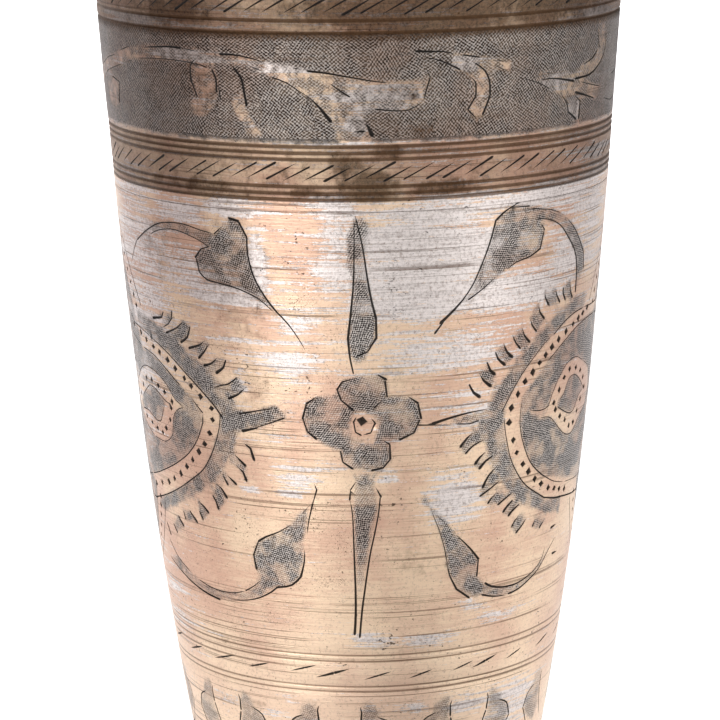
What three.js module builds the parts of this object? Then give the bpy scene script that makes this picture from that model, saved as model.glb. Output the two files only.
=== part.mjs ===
// Engraved brass lassi tumbler: a tall tapering drinking beaker. A turned barrel stands on a cast, hollow foot, a
// beaded ring caps its mouth, and a floor disc closes it. The joints are brazed, and tin lines the inside.
// Millimetres, +Z up. The origin is the centre of the ring on which the foot rests.
import * as THREE from "three";

// Driving dimensions
const HEIGHT = 190;
const MOUTH_RADIUS = 53; // outside the barrel, at its upper edge
const TAPER = 11.6; // what the radius loses in a straight line from the upper edge to the lower
const BELLY = 6.3; // what the rounding at the bottom takes off besides
const BELLY_POWER = 3.3;
const WALL = 1.6;
const LINING = 0.3;
const FIT = 0.1; // play between two pieces that touch
const SEGMENTS = 64;

// Heights of the joints
const SEAT_Z = 15.7; // upper face of the foot
const BARREL_BOTTOM_Z = 16;
const BARREL_TOP_Z = 188.6;
const FLOOR_THICKNESS = 2;
const FLOOR_TOP_Z = BARREL_BOTTOM_Z + FLOOR_THICKNESS;
const RIM_BOTTOM_Z = 180.4;

// Turned lines: the height of each groove's centre
const GROOVE_HEIGHTS = [39.4, 40.5, 45.8, 47.1, 137.5, 138.7, 140, 145.1, 146.3, 147.5, 168.5, 170.8, 177, 178.3];
const GROOVE_HALF_WIDTH = 0.4;
const GROOVE_DEPTH = 0.25;

// Foot
const FOOT_RADIUS = 38.1;
const FOOT_EDGE = 2.6; // height of its upright edge
const FOOT_BREAK = 0.6; // its rounded lower corner
const WAIST_RADIUS = 30.7;
const WAIST_Z = 9.4;
const COLLAR_RADIUS = 37;
const FOOT_BORE_RADIUS = 27.1;
const FOOT_HOLLOW_RADIUS = 32.6; // the hollow under the foot, where it meets the table
const FOOT_HOLLOW_DEPTH = 5;

// Rim
const RIM_BEAD = 2.7; // radius of the large bead at the lip
const RIM_BAND = 1.3; // thickness of the band between the two beads
const RIM_SMALL_BEAD = 0.9;
const FILLET = 1.3; // legs of the braze fillets

const brass = new THREE.MeshStandardMaterial({ color: 0xc9a27e, roughness: 0.38, metalness: 1 });
const castBrass = new THREE.MeshStandardMaterial({ color: 0xbf9462, roughness: 0.42, metalness: 1 });
const tin = new THREE.MeshStandardMaterial({ color: 0xbdb9b6, roughness: 0.45, metalness: 1 });
const braze = new THREE.MeshStandardMaterial({ color: 0xd4b25c, roughness: 0.5, metalness: 1 });

function barrelRadius(z) {
  const drop = (BARREL_TOP_Z - z) / (BARREL_TOP_Z - BARREL_BOTTOM_Z);
  return MOUTH_RADIUS - TAPER * drop - BELLY * Math.max(drop, 0) ** BELLY_POWER;
}

// Heights from low to high, evenly spaced, both ends included.
function heights(low, high, count) {
  return Array.from({ length: count + 1 }, (_, i) => low + ((high - low) * i) / count);
}

// Points of a circular arc in the section plane. The angles are in degrees, 0 pointing away from the axis and 90 up.
function arc(centreRadius, centreZ, radius, from, to, steps) {
  return Array.from({ length: steps + 1 }, (_, i) => {
    const angle = THREE.MathUtils.degToRad(from + ((to - from) * i) / steps);
    return [centreRadius + radius * Math.cos(angle), centreZ + radius * Math.sin(angle)];
  });
}

// A solid of revolution from its section, a list of [radius, height] that runs anticlockwise round the material.
function turned(name, section, material) {
  const points = section.map(([radius, z]) => new THREE.Vector2(radius, z));
  const onAxis = points[0].x === 0 && points.at(-1).x === 0;
  if (!onAxis) points.push(points[0].clone());
  const geometry = new THREE.LatheGeometry(points, SEGMENTS).rotateX(Math.PI / 2);
  const mesh = new THREE.Mesh(geometry, material);
  mesh.name = name;
  return mesh;
}

// The barrel's outside from its lower edge to its upper one, with a V for each turned line.
function barrelOutside() {
  const plain = heights(BARREL_BOTTOM_Z, BARREL_TOP_Z, 14)
    .filter((z) => GROOVE_HEIGHTS.every((groove) => Math.abs(z - groove) > 2 * GROOVE_HALF_WIDTH))
    .map((z) => [barrelRadius(z), z]);
  const grooves = GROOVE_HEIGHTS.flatMap((z) => [
    [barrelRadius(z - GROOVE_HALF_WIDTH), z - GROOVE_HALF_WIDTH],
    [barrelRadius(z) - GROOVE_DEPTH, z],
    [barrelRadius(z + GROOVE_HALF_WIDTH), z + GROOVE_HALF_WIDTH],
  ]);
  return [...plain, ...grooves].sort((a, b) => a[1] - b[1]);
}

function barrel() {
  const inside = heights(BARREL_BOTTOM_Z, BARREL_TOP_Z, 8)
    .reverse()
    .map((z) => [barrelRadius(z) - WALL, z]);
  return turned("barrel", [...barrelOutside(), ...inside], brass);
}

function floorDisc() {
  const radius = barrelRadius(BARREL_BOTTOM_Z) - WALL - FIT;
  const section = [
    [0, BARREL_BOTTOM_Z],
    [radius, BARREL_BOTTOM_Z],
    [radius, FLOOR_TOP_Z],
    [0, FLOOR_TOP_Z],
  ];
  return turned("floor_disc", section, brass);
}

// A thin cup against the barrel's inside and the floor.
function tinLining() {
  const bottom = FLOOR_TOP_Z + FIT;
  const clear = WALL + FIT;
  const outside = heights(bottom, BARREL_TOP_Z, 7).map((z) => [barrelRadius(z) - clear, z]);
  const inside = heights(bottom + LINING, BARREL_TOP_Z, 7)
    .reverse()
    .map((z) => [barrelRadius(z) - clear - LINING, z]);
  return turned("tin_lining", [[0, bottom], ...outside, ...inside, [0, bottom + LINING]], tin);
}

// The ring that caps the mouth: a large bead over the lip, a plain band and a small bead at its lower edge.
function rimRing() {
  const seat = (z) => barrelRadius(z) + FIT;
  const beadZ = HEIGHT - RIM_BEAD;
  const lipInside = barrelRadius(BARREL_TOP_Z) - WALL - FIT - LINING;
  const lipZ = BARREL_TOP_Z + FIT;
  const smallBeadZ = RIM_BOTTOM_Z + RIM_SMALL_BEAD;
  const section = [
    [seat(RIM_BOTTOM_Z), RIM_BOTTOM_Z],
    ...arc(seat(smallBeadZ) + RIM_BAND - 0.2, smallBeadZ, RIM_SMALL_BEAD, -90, 70, 5),
    [seat(smallBeadZ + 2) + RIM_BAND - 0.2, smallBeadZ + 2],
    ...arc(seat(beadZ) + RIM_BAND - 0.3, beadZ, RIM_BEAD, -60, 90, 7),
    ...arc(lipInside + 0.7, HEIGHT - 0.7, 0.7, 90, 180, 2),
    [lipInside, lipZ],
    [seat(lipZ), lipZ],
  ];
  return turned("rim_ring", section, castBrass);
}

// The foot: a collar under the barrel, a waist, and a flare that is hollow underneath.
function footRing() {
  const flareRise = WAIST_Z - FOOT_EDGE;
  const flareReach = FOOT_RADIUS - WAIST_RADIUS;
  const flare = heights(1, 5, 4).map((step) => {
    const angle = (step / 6) * (Math.PI / 2);
    return [FOOT_RADIUS - flareReach * Math.sin(angle), WAIST_Z - flareRise * Math.cos(angle)];
  });
  const section = [
    [FOOT_HOLLOW_RADIUS, 0],
    [FOOT_RADIUS - FOOT_BREAK, 0],
    [FOOT_RADIUS, FOOT_BREAK],
    [FOOT_RADIUS, FOOT_EDGE],
    ...flare,
    [WAIST_RADIUS, WAIST_Z],
    [WAIST_RADIUS + 1, WAIST_Z + 2.2],
    [WAIST_RADIUS + 3.4, WAIST_Z + 3.9],
    ...arc(COLLAR_RADIUS - 0.9, SEAT_Z - 0.9, 0.9, -60, 90, 4),
    [FOOT_BORE_RADIUS, SEAT_Z],
    [FOOT_BORE_RADIUS, FOOT_HOLLOW_DEPTH],
  ];
  return turned("foot_ring", section, castBrass);
}

// Braze where the rim ring ends on the barrel.
function rimBraze() {
  const top = RIM_BOTTOM_Z - FIT;
  const section = [
    [barrelRadius(top - FILLET) + FIT, top - FILLET],
    [barrelRadius(top) + FIT + FILLET, top],
    [barrelRadius(top) + FIT, top],
  ];
  return turned("rim_braze", section, braze);
}

// Braze where the barrel stands on the foot's collar.
function footBraze() {
  const bottom = SEAT_Z + FIT;
  const inner = (z) => barrelRadius(Math.max(z, BARREL_BOTTOM_Z)) + FIT;
  const section = [
    [inner(bottom), bottom],
    [COLLAR_RADIUS - 0.9, bottom],
    [inner(bottom + FILLET) + 0.3, bottom + FILLET],
    [inner(bottom + FILLET), bottom + FILLET],
  ];
  return turned("foot_braze", section, braze);
}

// Braze under the floor disc, in the foot's bore.
function floorBraze() {
  const top = BARREL_BOTTOM_Z - FIT;
  const outer = FOOT_BORE_RADIUS - FIT;
  const section = [
    [outer - FILLET, top],
    [outer, top - FILLET],
    [outer, top],
  ];
  return turned("floor_braze", section, braze);
}

const tumbler = new THREE.Group();
tumbler.add(barrel(), floorDisc(), tinLining(), rimRing(), footRing(), rimBraze(), footBraze(), floorBraze());

export default tumbler;
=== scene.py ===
import math

import bpy
import numpy as np
from mathutils import Matrix, Vector, noise
from mathutils.geometry import delaunay_2d_cdt


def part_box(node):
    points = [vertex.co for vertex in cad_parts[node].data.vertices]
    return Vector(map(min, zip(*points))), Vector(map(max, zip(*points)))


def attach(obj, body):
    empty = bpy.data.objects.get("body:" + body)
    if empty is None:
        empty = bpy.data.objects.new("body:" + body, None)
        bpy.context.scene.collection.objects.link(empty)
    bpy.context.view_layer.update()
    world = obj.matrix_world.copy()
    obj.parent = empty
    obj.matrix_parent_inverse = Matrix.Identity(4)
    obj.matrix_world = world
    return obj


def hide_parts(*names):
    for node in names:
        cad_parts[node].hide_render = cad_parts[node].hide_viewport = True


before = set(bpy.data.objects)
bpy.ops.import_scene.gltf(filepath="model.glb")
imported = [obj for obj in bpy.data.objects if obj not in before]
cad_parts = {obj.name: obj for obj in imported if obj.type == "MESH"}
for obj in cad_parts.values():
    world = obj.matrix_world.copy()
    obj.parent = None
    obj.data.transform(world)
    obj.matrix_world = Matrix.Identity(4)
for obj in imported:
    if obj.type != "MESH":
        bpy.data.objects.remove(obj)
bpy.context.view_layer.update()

MM = 0.001

# ---------------------------------------------------------------------------------------- barrel and sheet
LOW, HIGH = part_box("barrel")
BARREL_BOTTOM = LOW[2] / MM
BARREL_TOP = HIGH[2] / MM
MOUTH_RADIUS = HIGH[0] / MM
TAPER = 11.6
BELLY = 6.3
BELLY_POWER = 3.3
WALL = 1.6

SHEET_RADIUS = 46
HALF_TURN = math.pi * SHEET_RADIUS
TURN = 2 * HALF_TURN
COLUMNS = 192
COLUMN_WIDTH = TURN / COLUMNS
ROW_HEIGHT = 1.6
SEAM_MARGIN = 4

GROOVE_HEIGHTS = [
    39.4, 40.5, 45.8, 47.1, 137.5, 138.7, 140, 145.1, 146.3, 147.5, 168.5, 170.8, 177, 178.3,
]
GROOVE_HALF_WIDTH = 0.42
GROOVE_DEPTH = 0.22
LIGHT_GROOVES_BELOW = 60
LIGHT_GROOVE_SHARE = 0.42
SCRIBED_HEIGHT = 135.2
SCRIBED_HALF_WIDTH = 0.12
SCRIBED_DEPTH = 0.07
DRAWN_HEIGHTS = [16, 30, 43, 60, 96.5, 143, 172, 184, 190]
TRUE_HEIGHTS = [16, 30.6, 43.5, 60.3, 96.5, 142.8, 171.8, 184, 190]

# The drawing was set out by eye: all of it is turned a little, the flanks more than the front. Between
# FREE_LOW and FREE_HIGH the flanks are lifted too. SET_OUT_SKEW makes the left and right flank differ.
ALL_TURNED = 0.52
FLANKS_TURNED = 1.7
FLANKS_LIFTED = 0.65
SET_OUT_SKEW = 0.45
FREE_LOW = 48
FREE_HIGH = 136
FREE_FADE = 8

rng = np.random.default_rng(7)


def barrel_radius(height):
    """Outside radius of the plain barrel at a height."""
    drop = (BARREL_TOP - height) / (BARREL_TOP - BARREL_BOTTOM)
    return MOUTH_RADIUS - TAPER * drop - BELLY * np.maximum(drop, 0) ** BELLY_POWER


def set_out(points):
    """Where places of the drawing come on the sheet."""
    points = np.array(points, float)
    angle = points[..., 0] / SHEET_RADIUS
    height = points[..., 1]
    bulge = 1 - np.cos(angle)
    skew = SET_OUT_SKEW * np.sin(angle)
    above = np.clip((height - FREE_LOW) / FREE_FADE, 0, 1)
    below = np.clip((FREE_HIGH - height) / FREE_FADE, 0, 1)
    turned = ALL_TURNED + FLANKS_TURNED * bulge - skew
    lifted = above * below * (FLANKS_LIFTED * bulge - skew)
    settled = np.interp(height, DRAWN_HEIGHTS, TRUE_HEIGHTS)
    return np.stack([points[..., 0] + turned, settled + lifted], axis=-1)


# ------------------------------------------------------------------------------------------ chisel strokes
POINTED = 0.3  # an end narrower than this runs out to a point
CUT_DEPTH = 0.5  # of its width
TIP_HALF_WIDTH = 0.04
SHOULDER = 0.35  # of its width: how far from a blunt end a cut has its full depth
CURVE_STEP = 1.3
STRAIGHT_STEP = 2.5
PUNCH_DEPTH = 0.36  # of its size
PUNCH_REACH = (0.72, 1.18)  # of half its size: least and most reach of a corner
PUNCH_TURN = 14  # degrees either way
THIN_END = 0.18


def smooth(points):
    """A Catmull-Rom curve through the points, or a straight line between two, in steps."""
    p = np.array(points, float)
    if len(p) == 2:
        count = max(2, int(np.ceil(np.linalg.norm(p[1] - p[0]) / STRAIGHT_STEP)))
        t = np.linspace(0, 1, count + 1)[:, None]
        return p[0] * (1 - t) + p[1] * t
    ends = np.vstack([2 * p[0] - p[1], p, 2 * p[-1] - p[-2]])
    curve = []
    for a, b, c, d in zip(ends, ends[1:], ends[2:], ends[3:]):
        count = max(1, int(round(np.linalg.norm(c - b) / CURVE_STEP)))
        square = 2 * a - 5 * b + 4 * c - d
        cube = 3 * b - a - 3 * c + d
        for t in np.arange(count) / count:
            curve.append(0.5 * (2 * b + (c - a) * t + square * t**2 + cube * t**3))
    curve.append(p[-1])
    return np.array(curve)


def cut(points, start, end):
    """One chisel stroke along the points, start wide at first and end wide at last."""
    centre = smooth(points)
    along = np.concatenate([[0], np.cumsum(np.linalg.norm(np.diff(centre, axis=0), axis=1))])
    length = along[-1]
    stations = list(along)
    for width, place in ((start, SHOULDER * start), (end, length - SHOULDER * end)):
        if width >= POINTED and length > 1.5 * width:
            stations = [s for s in stations if abs(s - place) > 0.15 or s in (0, length)] + [place]
    stations = np.array(sorted(stations))
    line = np.column_stack([np.interp(stations, along, centre[:, axis]) for axis in (0, 1)])
    half = (start + (end - start) * stations / length) / 2
    depth = 2 * half * CUT_DEPTH
    depth[0] = depth[-1] = 0
    if start < POINTED:
        half[0] = TIP_HALF_WIDTH
    if end < POINTED:
        half[-1] = TIP_HALF_WIDTH
    return {"line": line, "half": half, "depth": depth}


def moved(stroke, arc):
    """The stroke moved round the barrel by arc."""
    return {**stroke, "line": stroke["line"] + (arc, 0)}


def punch(arc, height, size, turn):
    """A diamond punch: a four-sided pit. size is from corner to corner, turn in degrees."""
    angles = np.radians(turn + 90 * np.arange(4))
    corners = np.column_stack([np.cos(angles), np.sin(angles)]) * size / 2
    corners *= rng.uniform(*PUNCH_REACH, (4, 1))
    centre = np.array([arc, height], float)
    return {"centre": centre, "corners": corners + (arc, height), "depth": PUNCH_DEPTH * size}


# ------------------------------------------------------------------------------------------------ ornament
# A panel is half of the way round: a flower with four petals between two spears, four big leaves on stems,
# and the near lobe of the medallion on each side. The other half repeats it. The cuts are listed one by one,
# (points, width at the first point, width at the last point) each.
FLOWER_CUTS = [
    ([(2.2, 104), (3.8, 103)], 0.3, 0.6),
    ([(3.5, 102.8), (3.9, 99.6)], 0.45, 0.35),
    ([(3.4, 99.4), (1.4, 97.5)], 0.15, 0.35),
    ([(-2.2, 103.4), (-4.6, 102.6)], 0.15, 0.35),
    ([(-4.6, 102.6), (-5.6, 101)], 0.3, 0.45),
    ([(-5.5, 101), (-4.8, 99)], 0.3, 0.4),
    ([(-4.8, 99), (-2.5, 97)], 0.3, 0.5),
    ([(7.7, 99.7), (9.9, 98.1)], 0.2, 0.5),
    ([(9.8, 98.1), (10.5, 95)], 0.35, 0.55),
    ([(10.2, 94.8), (9.1, 92.3)], 0.35, 0.4),
    ([(9.1, 92.3), (6.2, 91)], 0.3, 0.55),
    ([(3, 91.1), (4.4, 90.2)], 0.15, 0.4),
    ([(4.4, 90.1), (4.5, 87.2)], 0.35, 0.5),
    ([(4.5, 87.2), (3, 85.4)], 0.35, 0.4),
    ([(2.9, 85.5), (0.8, 85)], 0.4, 0.55),
    ([(-2.8, 85.3), (-4.8, 86.7)], 0.5, 0.35),
    ([(-4.8, 86.8), (-5.2, 88.9)], 0.35, 0.35),
    ([(-5.2, 89), (-4.4, 90.2)], 0.2, 0.15),
    ([(-9.4, 99.6), (-11.6, 98.1)], 0.15, 0.5),
    ([(-11.6, 98), (-12.5, 95)], 0.35, 0.45),
    ([(-12.4, 95), (-11.6, 92.4)], 0.3, 0.4),
    ([(-11.6, 92.5), (-9.8, 91.1)], 0.35, 0.6),
    ([(-1.9, 95.9), (-2.6, 94.6)], 0.2, 0.4),
    ([(-2.5, 94.6), (-2.2, 92.7)], 0.3, 0.3),
    ([(-2.2, 92.7), (-1.1, 92.1)], 0.3, 0.4),
    ([(-0.9, 92.1), (0.8, 92.6)], 0.2, 0.35),
    ([(0.8, 92.7), (1.6, 94.6)], 0.3, 0.35),
    ([(0.8, 95.5), (1.7, 94.4)], 0.2, 0.35),
]

SPEAR_CUTS = [
    ([(-1.8, 134.3), (-1.9, 128), (-2.1, 122), (-2.7, 116), (-3.3, 111)], 0.15, 0.5),
    ([(-3.3, 111.3), (-3, 107.5), (-2.4, 104.3)], 0.5, 0.3),
    ([(-1.7, 135.2), (-0.8, 131), (-0.2, 127.5), (0.3, 123.5), (1, 119), (1.9, 115)], 0.2, 0.5),
    ([(1.9, 115.2), (1.95, 111)], 0.45, 0.5),
    ([(1.9, 111.2), (0.3, 108.6)], 0.5, 0.3),
    ([(0.4, 108.6), (-1.7, 107.7)], 0.3, 0.4),
    ([(-2.1, 83), (-3.4, 81.1)], 0.15, 0.3),
    ([(-3.4, 81.1), (-3.6, 79)], 0.25, 0.45),
    ([(-3.5, 79), (-3.1, 76), (-3, 72), (-2.9, 66), (-2.8, 60), (-2.9, 55), (-3.2, 51.1)], 0.2, 0.65),
    ([(1.5, 81.8), (2.7, 79.6)], 0.15, 0.45),
    ([(2.5, 79.5), (2.1, 76), (1.3, 72), (0.4, 68), (-0.2, 64.5), (-0.9, 60), (-1.5, 56),
      (-2.1, 50.5)], 0.3, 0.5),
]

UPPER_LEAF_CUTS = [
    ([(-53, 125.5), (-48, 128.3), (-44, 130.2), (-40, 131), (-36, 131.1), (-32, 130.4),
      (-29, 130)], 0.35, 0.2),
    ([(-58, 120), (-55.5, 123), (-53.5, 125.2)], 0.15, 0.3),
    ([(-47.5, 127.3), (-44, 128.8), (-40, 129.6), (-37, 129.4), (-33, 128.4), (-30, 127.1)], 0.2, 0.2),
    ([(-28.8, 130), (-26.5, 132)], 0.3, 0.15),
    ([(-27.9, 130.2), (-27.5, 128)], 0.2, 0.2),
    ([(-25.4, 133.5), (-23.3, 133)], 0.5, 0.6),
    ([(-23.3, 132.9), (-21.8, 129.9)], 0.45, 0.4),
    ([(-21.8, 130), (-21.8, 126.5), (-20.9, 122.5), (-19.5, 119.7), (-18, 117.5),
      (-16.5, 115.7)], 0.35, 0.4),
    ([(-16.6, 115.8), (-14.5, 113.6), (-12.5, 110.7), (-11.2, 108.3)], 0.35, 0.15),
    ([(-30, 127.3), (-32.2, 126.6)], 0.2, 0.3),
    ([(-32.2, 126.6), (-33.9, 124.7)], 0.3, 0.5),
    ([(-33.6, 124.6), (-33.1, 122)], 0.4, 0.35),
    ([(-33.1, 122), (-31.3, 120.7), (-28, 120.3), (-24, 119.6), (-20, 118), (-17, 115.6)], 0.35, 0.2),
    ([(-20.4, 117.6), (-20.6, 115)], 0.2, 0.15),
    ([(24.3, 132.6), (23.4, 129), (22, 125), (20, 120.5), (18.2, 117.9)], 0.4, 0.3),
    ([(18.4, 118.1), (16.4, 115.9), (13.8, 113.5)], 0.35, 0.7),
    ([(14.4, 113.7), (12.8, 111.6)], 0.3, 0.5),
    ([(24.4, 132.5), (26.2, 134), (29.2, 135.4)], 0.55, 0.15),
    ([(27.5, 134.6), (31.6, 134.4)], 0.15, 0.3),
    ([(31.5, 133.9), (35, 133.4), (38, 132.8), (40.5, 131.8)], 0.25, 0.15),
    ([(42, 130.8), (45.5, 128), (49.5, 123.2)], 0.15, 0.4),
    ([(49.7, 123), (50.3, 119.5)], 0.45, 0.45),
    ([(32.8, 131.7), (36, 131.4), (40, 129.8), (43, 127), (46, 123.5), (47.2, 120),
      (47.3, 115.2)], 0.15, 0.6),
    ([(34.5, 131), (35.8, 129.3)], 0.15, 0.35),
    ([(35.6, 129), (34.9, 126)], 0.35, 0.35),
    ([(35, 125.9), (32.5, 124.7), (29, 123.9), (27, 122.7)], 0.45, 0.15),
    ([(24.6, 121.5), (22, 119.5), (19.2, 117.7)], 0.15, 0.35),
]

LOWER_LEAF_CUTS = [
    ([(-10.7, 82.1), (-10.2, 80.8)], 0.2, 0.35),
    ([(-10.2, 80.9), (-11.2, 77.9)], 0.35, 0.25),
    ([(-11.2, 78), (-12.2, 74.3), (-12.7, 71.5)], 0.4, 0.15),
    ([(-11.6, 77.9), (-14, 75.3)], 0.2, 0.12),
    ([(-16, 73.4), (-19, 71.6), (-22, 70.3), (-24, 69.1)], 0.12, 0.5),
    ([(-24, 69), (-25.5, 66)], 0.3, 0.4),
    ([(-25.4, 66), (-25, 63.1)], 0.35, 0.6),
    ([(-13.4, 68.7), (-13.6, 66), (-14.6, 62.6)], 0.15, 0.55),
    ([(-14.6, 62.7), (-16.8, 60.8), (-20.5, 59.9)], 0.5, 0.4),
    ([(-20, 60.2), (-22, 58.7), (-25, 57.2), (-28, 56.3), (-33, 55.5)], 0.4, 0.15),
    ([(-36.5, 55), (-41, 55.5), (-46, 56.5), (-51, 58), (-57, 59.8)], 0.5, 0.2),
    ([(-24.2, 61), (-26, 59.6), (-28.5, 58.2)], 0.15, 0.3),
    ([(-28.5, 58.1), (-32, 57.2), (-36, 56.9), (-40, 57.2), (-43.5, 57.9)], 0.2, 0.25),
    ([(-46, 58.6), (-52, 61), (-56, 64)], 0.2, 0.25),
    ([(12.8, 76.8), (13.5, 75), (14.8, 72), (16, 68.5), (16.8, 65)], 0.15, 0.25),
    ([(16.8, 65.1), (17.5, 62.5), (19.3, 59.4)], 0.25, 0.5),
    ([(19.2, 59.5), (22.5, 57.2)], 0.45, 0.5),
    ([(14, 75.3), (16.3, 73.3)], 0.2, 0.12),
    ([(18.3, 71), (20.5, 69), (22.3, 67.2), (24.2, 65)], 0.15, 0.6),
    ([(24.1, 64.9), (24, 61.5)], 0.4, 0.5),
    ([(26.2, 59.8), (28, 58.8), (31, 58.1), (35, 58), (38.5, 58.7), (41.5, 59.9), (43.5, 61.5),
      (44.6, 64)], 0.5, 0.2),
    ([(25.6, 57.4), (29, 56.5), (32.5, 56.2)], 0.45, 0.2),
    ([(33, 56.3), (36, 56.7), (40, 58.2), (43, 59.8), (46, 62.6), (49, 65)], 0.45, 0.2),
]

SIDE_LEAF_CUTS = [
    ([(-26, 94.9), (-23, 95.6), (-18.3, 96.8)], 0.4, 0.2),
    ([(-25.8, 91.4), (-22.2, 92.4)], 0.75, 0.3),
    ([(-22.4, 92.5), (-19, 93.8), (-16.3, 94.9)], 0.2, 0.35),
    ([(9.9, 93.8), (13, 93.6), (17, 93.3)], 0.35, 0.12),
    ([(16.8, 93.5), (20.5, 93.2), (22.3, 93.6)], 0.2, 0.3),
    ([(12.5, 93.8), (16, 94.7), (20, 95.4), (24.3, 95.7)], 0.7, 0.12),
]

# The short cuts that stand round the near lobes, in pairs.
FRINGE_CUTS = [
    ([(-49.8, 110.4), (-46, 111.2), (-45.3, 112.3)], 0.55, 0.3),
    ([(-42.2, 113), (-42.5, 111.5), (-43.8, 110.2), (-46, 109.2)], 0.35, 0.2),
    ([(-45, 108.2), (-41, 109.9), (-38.7, 111.6)], 0.4, 0.2),
    ([(-40.2, 107.1), (-38, 108.5), (-37, 110.6)], 0.5, 0.3),
    ([(-37.9, 106.3), (-34.5, 107.5), (-33.2, 108.5)], 0.5, 0.2),
    ([(-35.3, 104.7), (-33.5, 106.3), (-32.2, 108)], 0.5, 0.15),
    ([(-34.1, 103.4), (-32, 104.1), (-30.4, 105.4)], 0.5, 0.2),
    ([(-31, 102.3), (-29, 103.7), (-28.3, 105.2)], 0.6, 0.3),
    ([(-32, 99.2), (-30, 100), (-28, 100.6), (-26, 102)], 0.2, 0.3),
    ([(-28.4, 97.6), (-26, 98.7), (-24.3, 100.2)], 0.5, 0.2),
    ([(-25.5, 89), (-24.1, 88.1)], 0.2, 0.4),
    ([(-24.1, 88.2), (-23.4, 85.7)], 0.4, 0.6),
    ([(-28.2, 86.5), (-25.5, 84.3)], 0.15, 0.6),
    ([(-27.8, 84.2), (-26.3, 83), (-25.6, 81.2)], 0.2, 0.6),
    ([(-30.5, 81.9), (-28.2, 80.2)], 0.2, 0.55),
    ([(-31.8, 82), (-30.4, 79.8)], 0.2, 0.5),
    ([(-33.8, 79.7), (-32.3, 78.8), (-31, 77)], 0.15, 0.6),
    ([(-35, 76.9), (-34.3, 76), (-33.7, 74.3)], 0.3, 0.55),
    ([(-39.8, 74.9), (-38, 74), (-36.8, 73)], 0.15, 0.55),
    ([(-39.8, 72.8), (-38.9, 71.2)], 0.35, 0.55),
    ([(-43.4, 72.2), (-41, 70.2)], 0.3, 0.6),
    ([(-46, 71.5), (-45.5, 70)], 0.3, 0.5),
    ([(-48.7, 70), (-46.8, 68.3)], 0.35, 0.6),
    ([(-51.8, 67.7), (-50.4, 66.2)], 0.3, 0.5),
    ([(-56, 67), (-54.4, 64.8)], 0.4, 0.6),
    ([(36.8, 117), (37, 116), (38.2, 114.2)], 0.2, 0.5),
    ([(40, 117.2), (40.5, 115.8), (41.7, 114.2)], 0.2, 0.5),
    ([(42.5, 116.9), (42.6, 115.8), (43.6, 114.3)], 0.35, 0.5),
    ([(44.8, 118), (45.2, 116), (46.2, 114.3)], 0.2, 0.5),
    ([(35.2, 115), (35.7, 113.3), (37.2, 111.7)], 0.2, 0.5),
    ([(33.2, 112.6), (33.8, 111), (35.2, 109.5)], 0.2, 0.4),
    ([(31.3, 110.8), (32, 109.2), (33.6, 107.6)], 0.2, 0.5),
    ([(29, 109.8), (30, 108), (31.2, 106.7)], 0.2, 0.4),
    ([(27.1, 108.3), (28, 106.5), (29.5, 105.2)], 0.2, 0.65),
    ([(25.4, 106.7), (26, 105.4), (27.8, 103.9)], 0.25, 0.6),
    ([(23.6, 105), (24.4, 103.3), (25.6, 102.3)], 0.25, 0.65),
    ([(22, 103), (23, 101.5), (24.8, 100.1)], 0.2, 0.65),
    ([(20, 101), (21, 99.3), (22.5, 98.2)], 0.3, 0.65),
    ([(18.6, 88.6), (20, 90.3), (21.5, 91.5)], 0.6, 0.2),
    ([(19.8, 87.2), (21.5, 88.7), (24, 89.6)], 0.4, 0.2),
    ([(22, 84.8), (23, 86), (24.5, 87.2)], 0.65, 0.2),
    ([(23, 83.7), (24.5, 85.2), (26, 86)], 0.65, 0.25),
    ([(24, 79.7), (25.3, 82), (27, 83.6)], 0.6, 0.2),
    ([(23.5, 78.1), (26, 79.4), (28.3, 80.8)], 0.4, 0.2),
    ([(25.5, 76.3), (26.2, 77.2), (27.5, 78.3)], 0.45, 0.2),
    ([(28, 75.7), (30, 76.8), (32, 77.8)], 0.45, 0.2),
    ([(29.5, 73.9), (30.5, 75), (31.8, 76)], 0.6, 0.3),
    ([(31, 72.9), (32, 73.8), (33.8, 74.8)], 0.6, 0.25),
    ([(32.2, 70.4), (33, 71.6), (34.2, 72.6)], 0.4, 0.2),
    ([(33.6, 68.9), (35, 70), (36.5, 71.5)], 0.5, 0.2),
    ([(38.7, 69.2), (39.5, 70.7)], 0.45, 0.2),
    ([(41.2, 68.4), (42.8, 69.8)], 0.45, 0.2),
    ([(46, 67.3), (48.6, 67.6)], 0.55, 0.2),
    ([(48.2, 61.4), (51, 61.3)], 0.5, 0.2),
]

LEFT_OUTER_TOP = [
    (-30.2, 93.5), (-32.5, 96), (-36, 98.7), (-40, 101.3), (-44, 103.6), (-48, 105.2), (-52, 106.3),
]
LEFT_OUTER_LOW = [
    (-30.8, 94), (-31.3, 91.5), (-32.5, 88.5), (-34.5, 85), (-37, 82), (-40, 79.9), (-44, 77.6),
]
LEFT_INNER_TOP = [(-37.5, 95.5), (-42, 98.3), (-46, 100.5), (-50, 102.3), (-53, 103), (-57, 103.3)]
LEFT_INNER_LOW = [
    (-35.8, 91.6), (-37.2, 89), (-39, 86.6), (-42, 84), (-46, 81.7), (-50, 79.9), (-56, 77.7), (-62, 76),
]
RIGHT_OUTER_TOP = [(27.6, 94.7), (29.5, 98), (32, 101.5), (34.5, 104), (37.5, 106.5), (40, 108)]
RIGHT_OUTER_LOW = [
    (28.1, 94), (28.6, 91), (29.4, 88), (30.5, 84.8), (32.5, 81.5), (35, 78.7), (38, 76.7), (42, 74.5),
]
RIGHT_INNER_TOP = [
    (39, 102.8), (41, 104), (44, 105.8), (48, 107.6), (52, 108.5), (56, 108.8), (60, 108.6),
]
RIGHT_INNER_LOW = [
    (32.6, 97), (32.3, 94), (32.4, 91.5), (33, 89), (34.3, 86), (36, 83.2), (38.3, 81), (41, 79.2),
]
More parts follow.
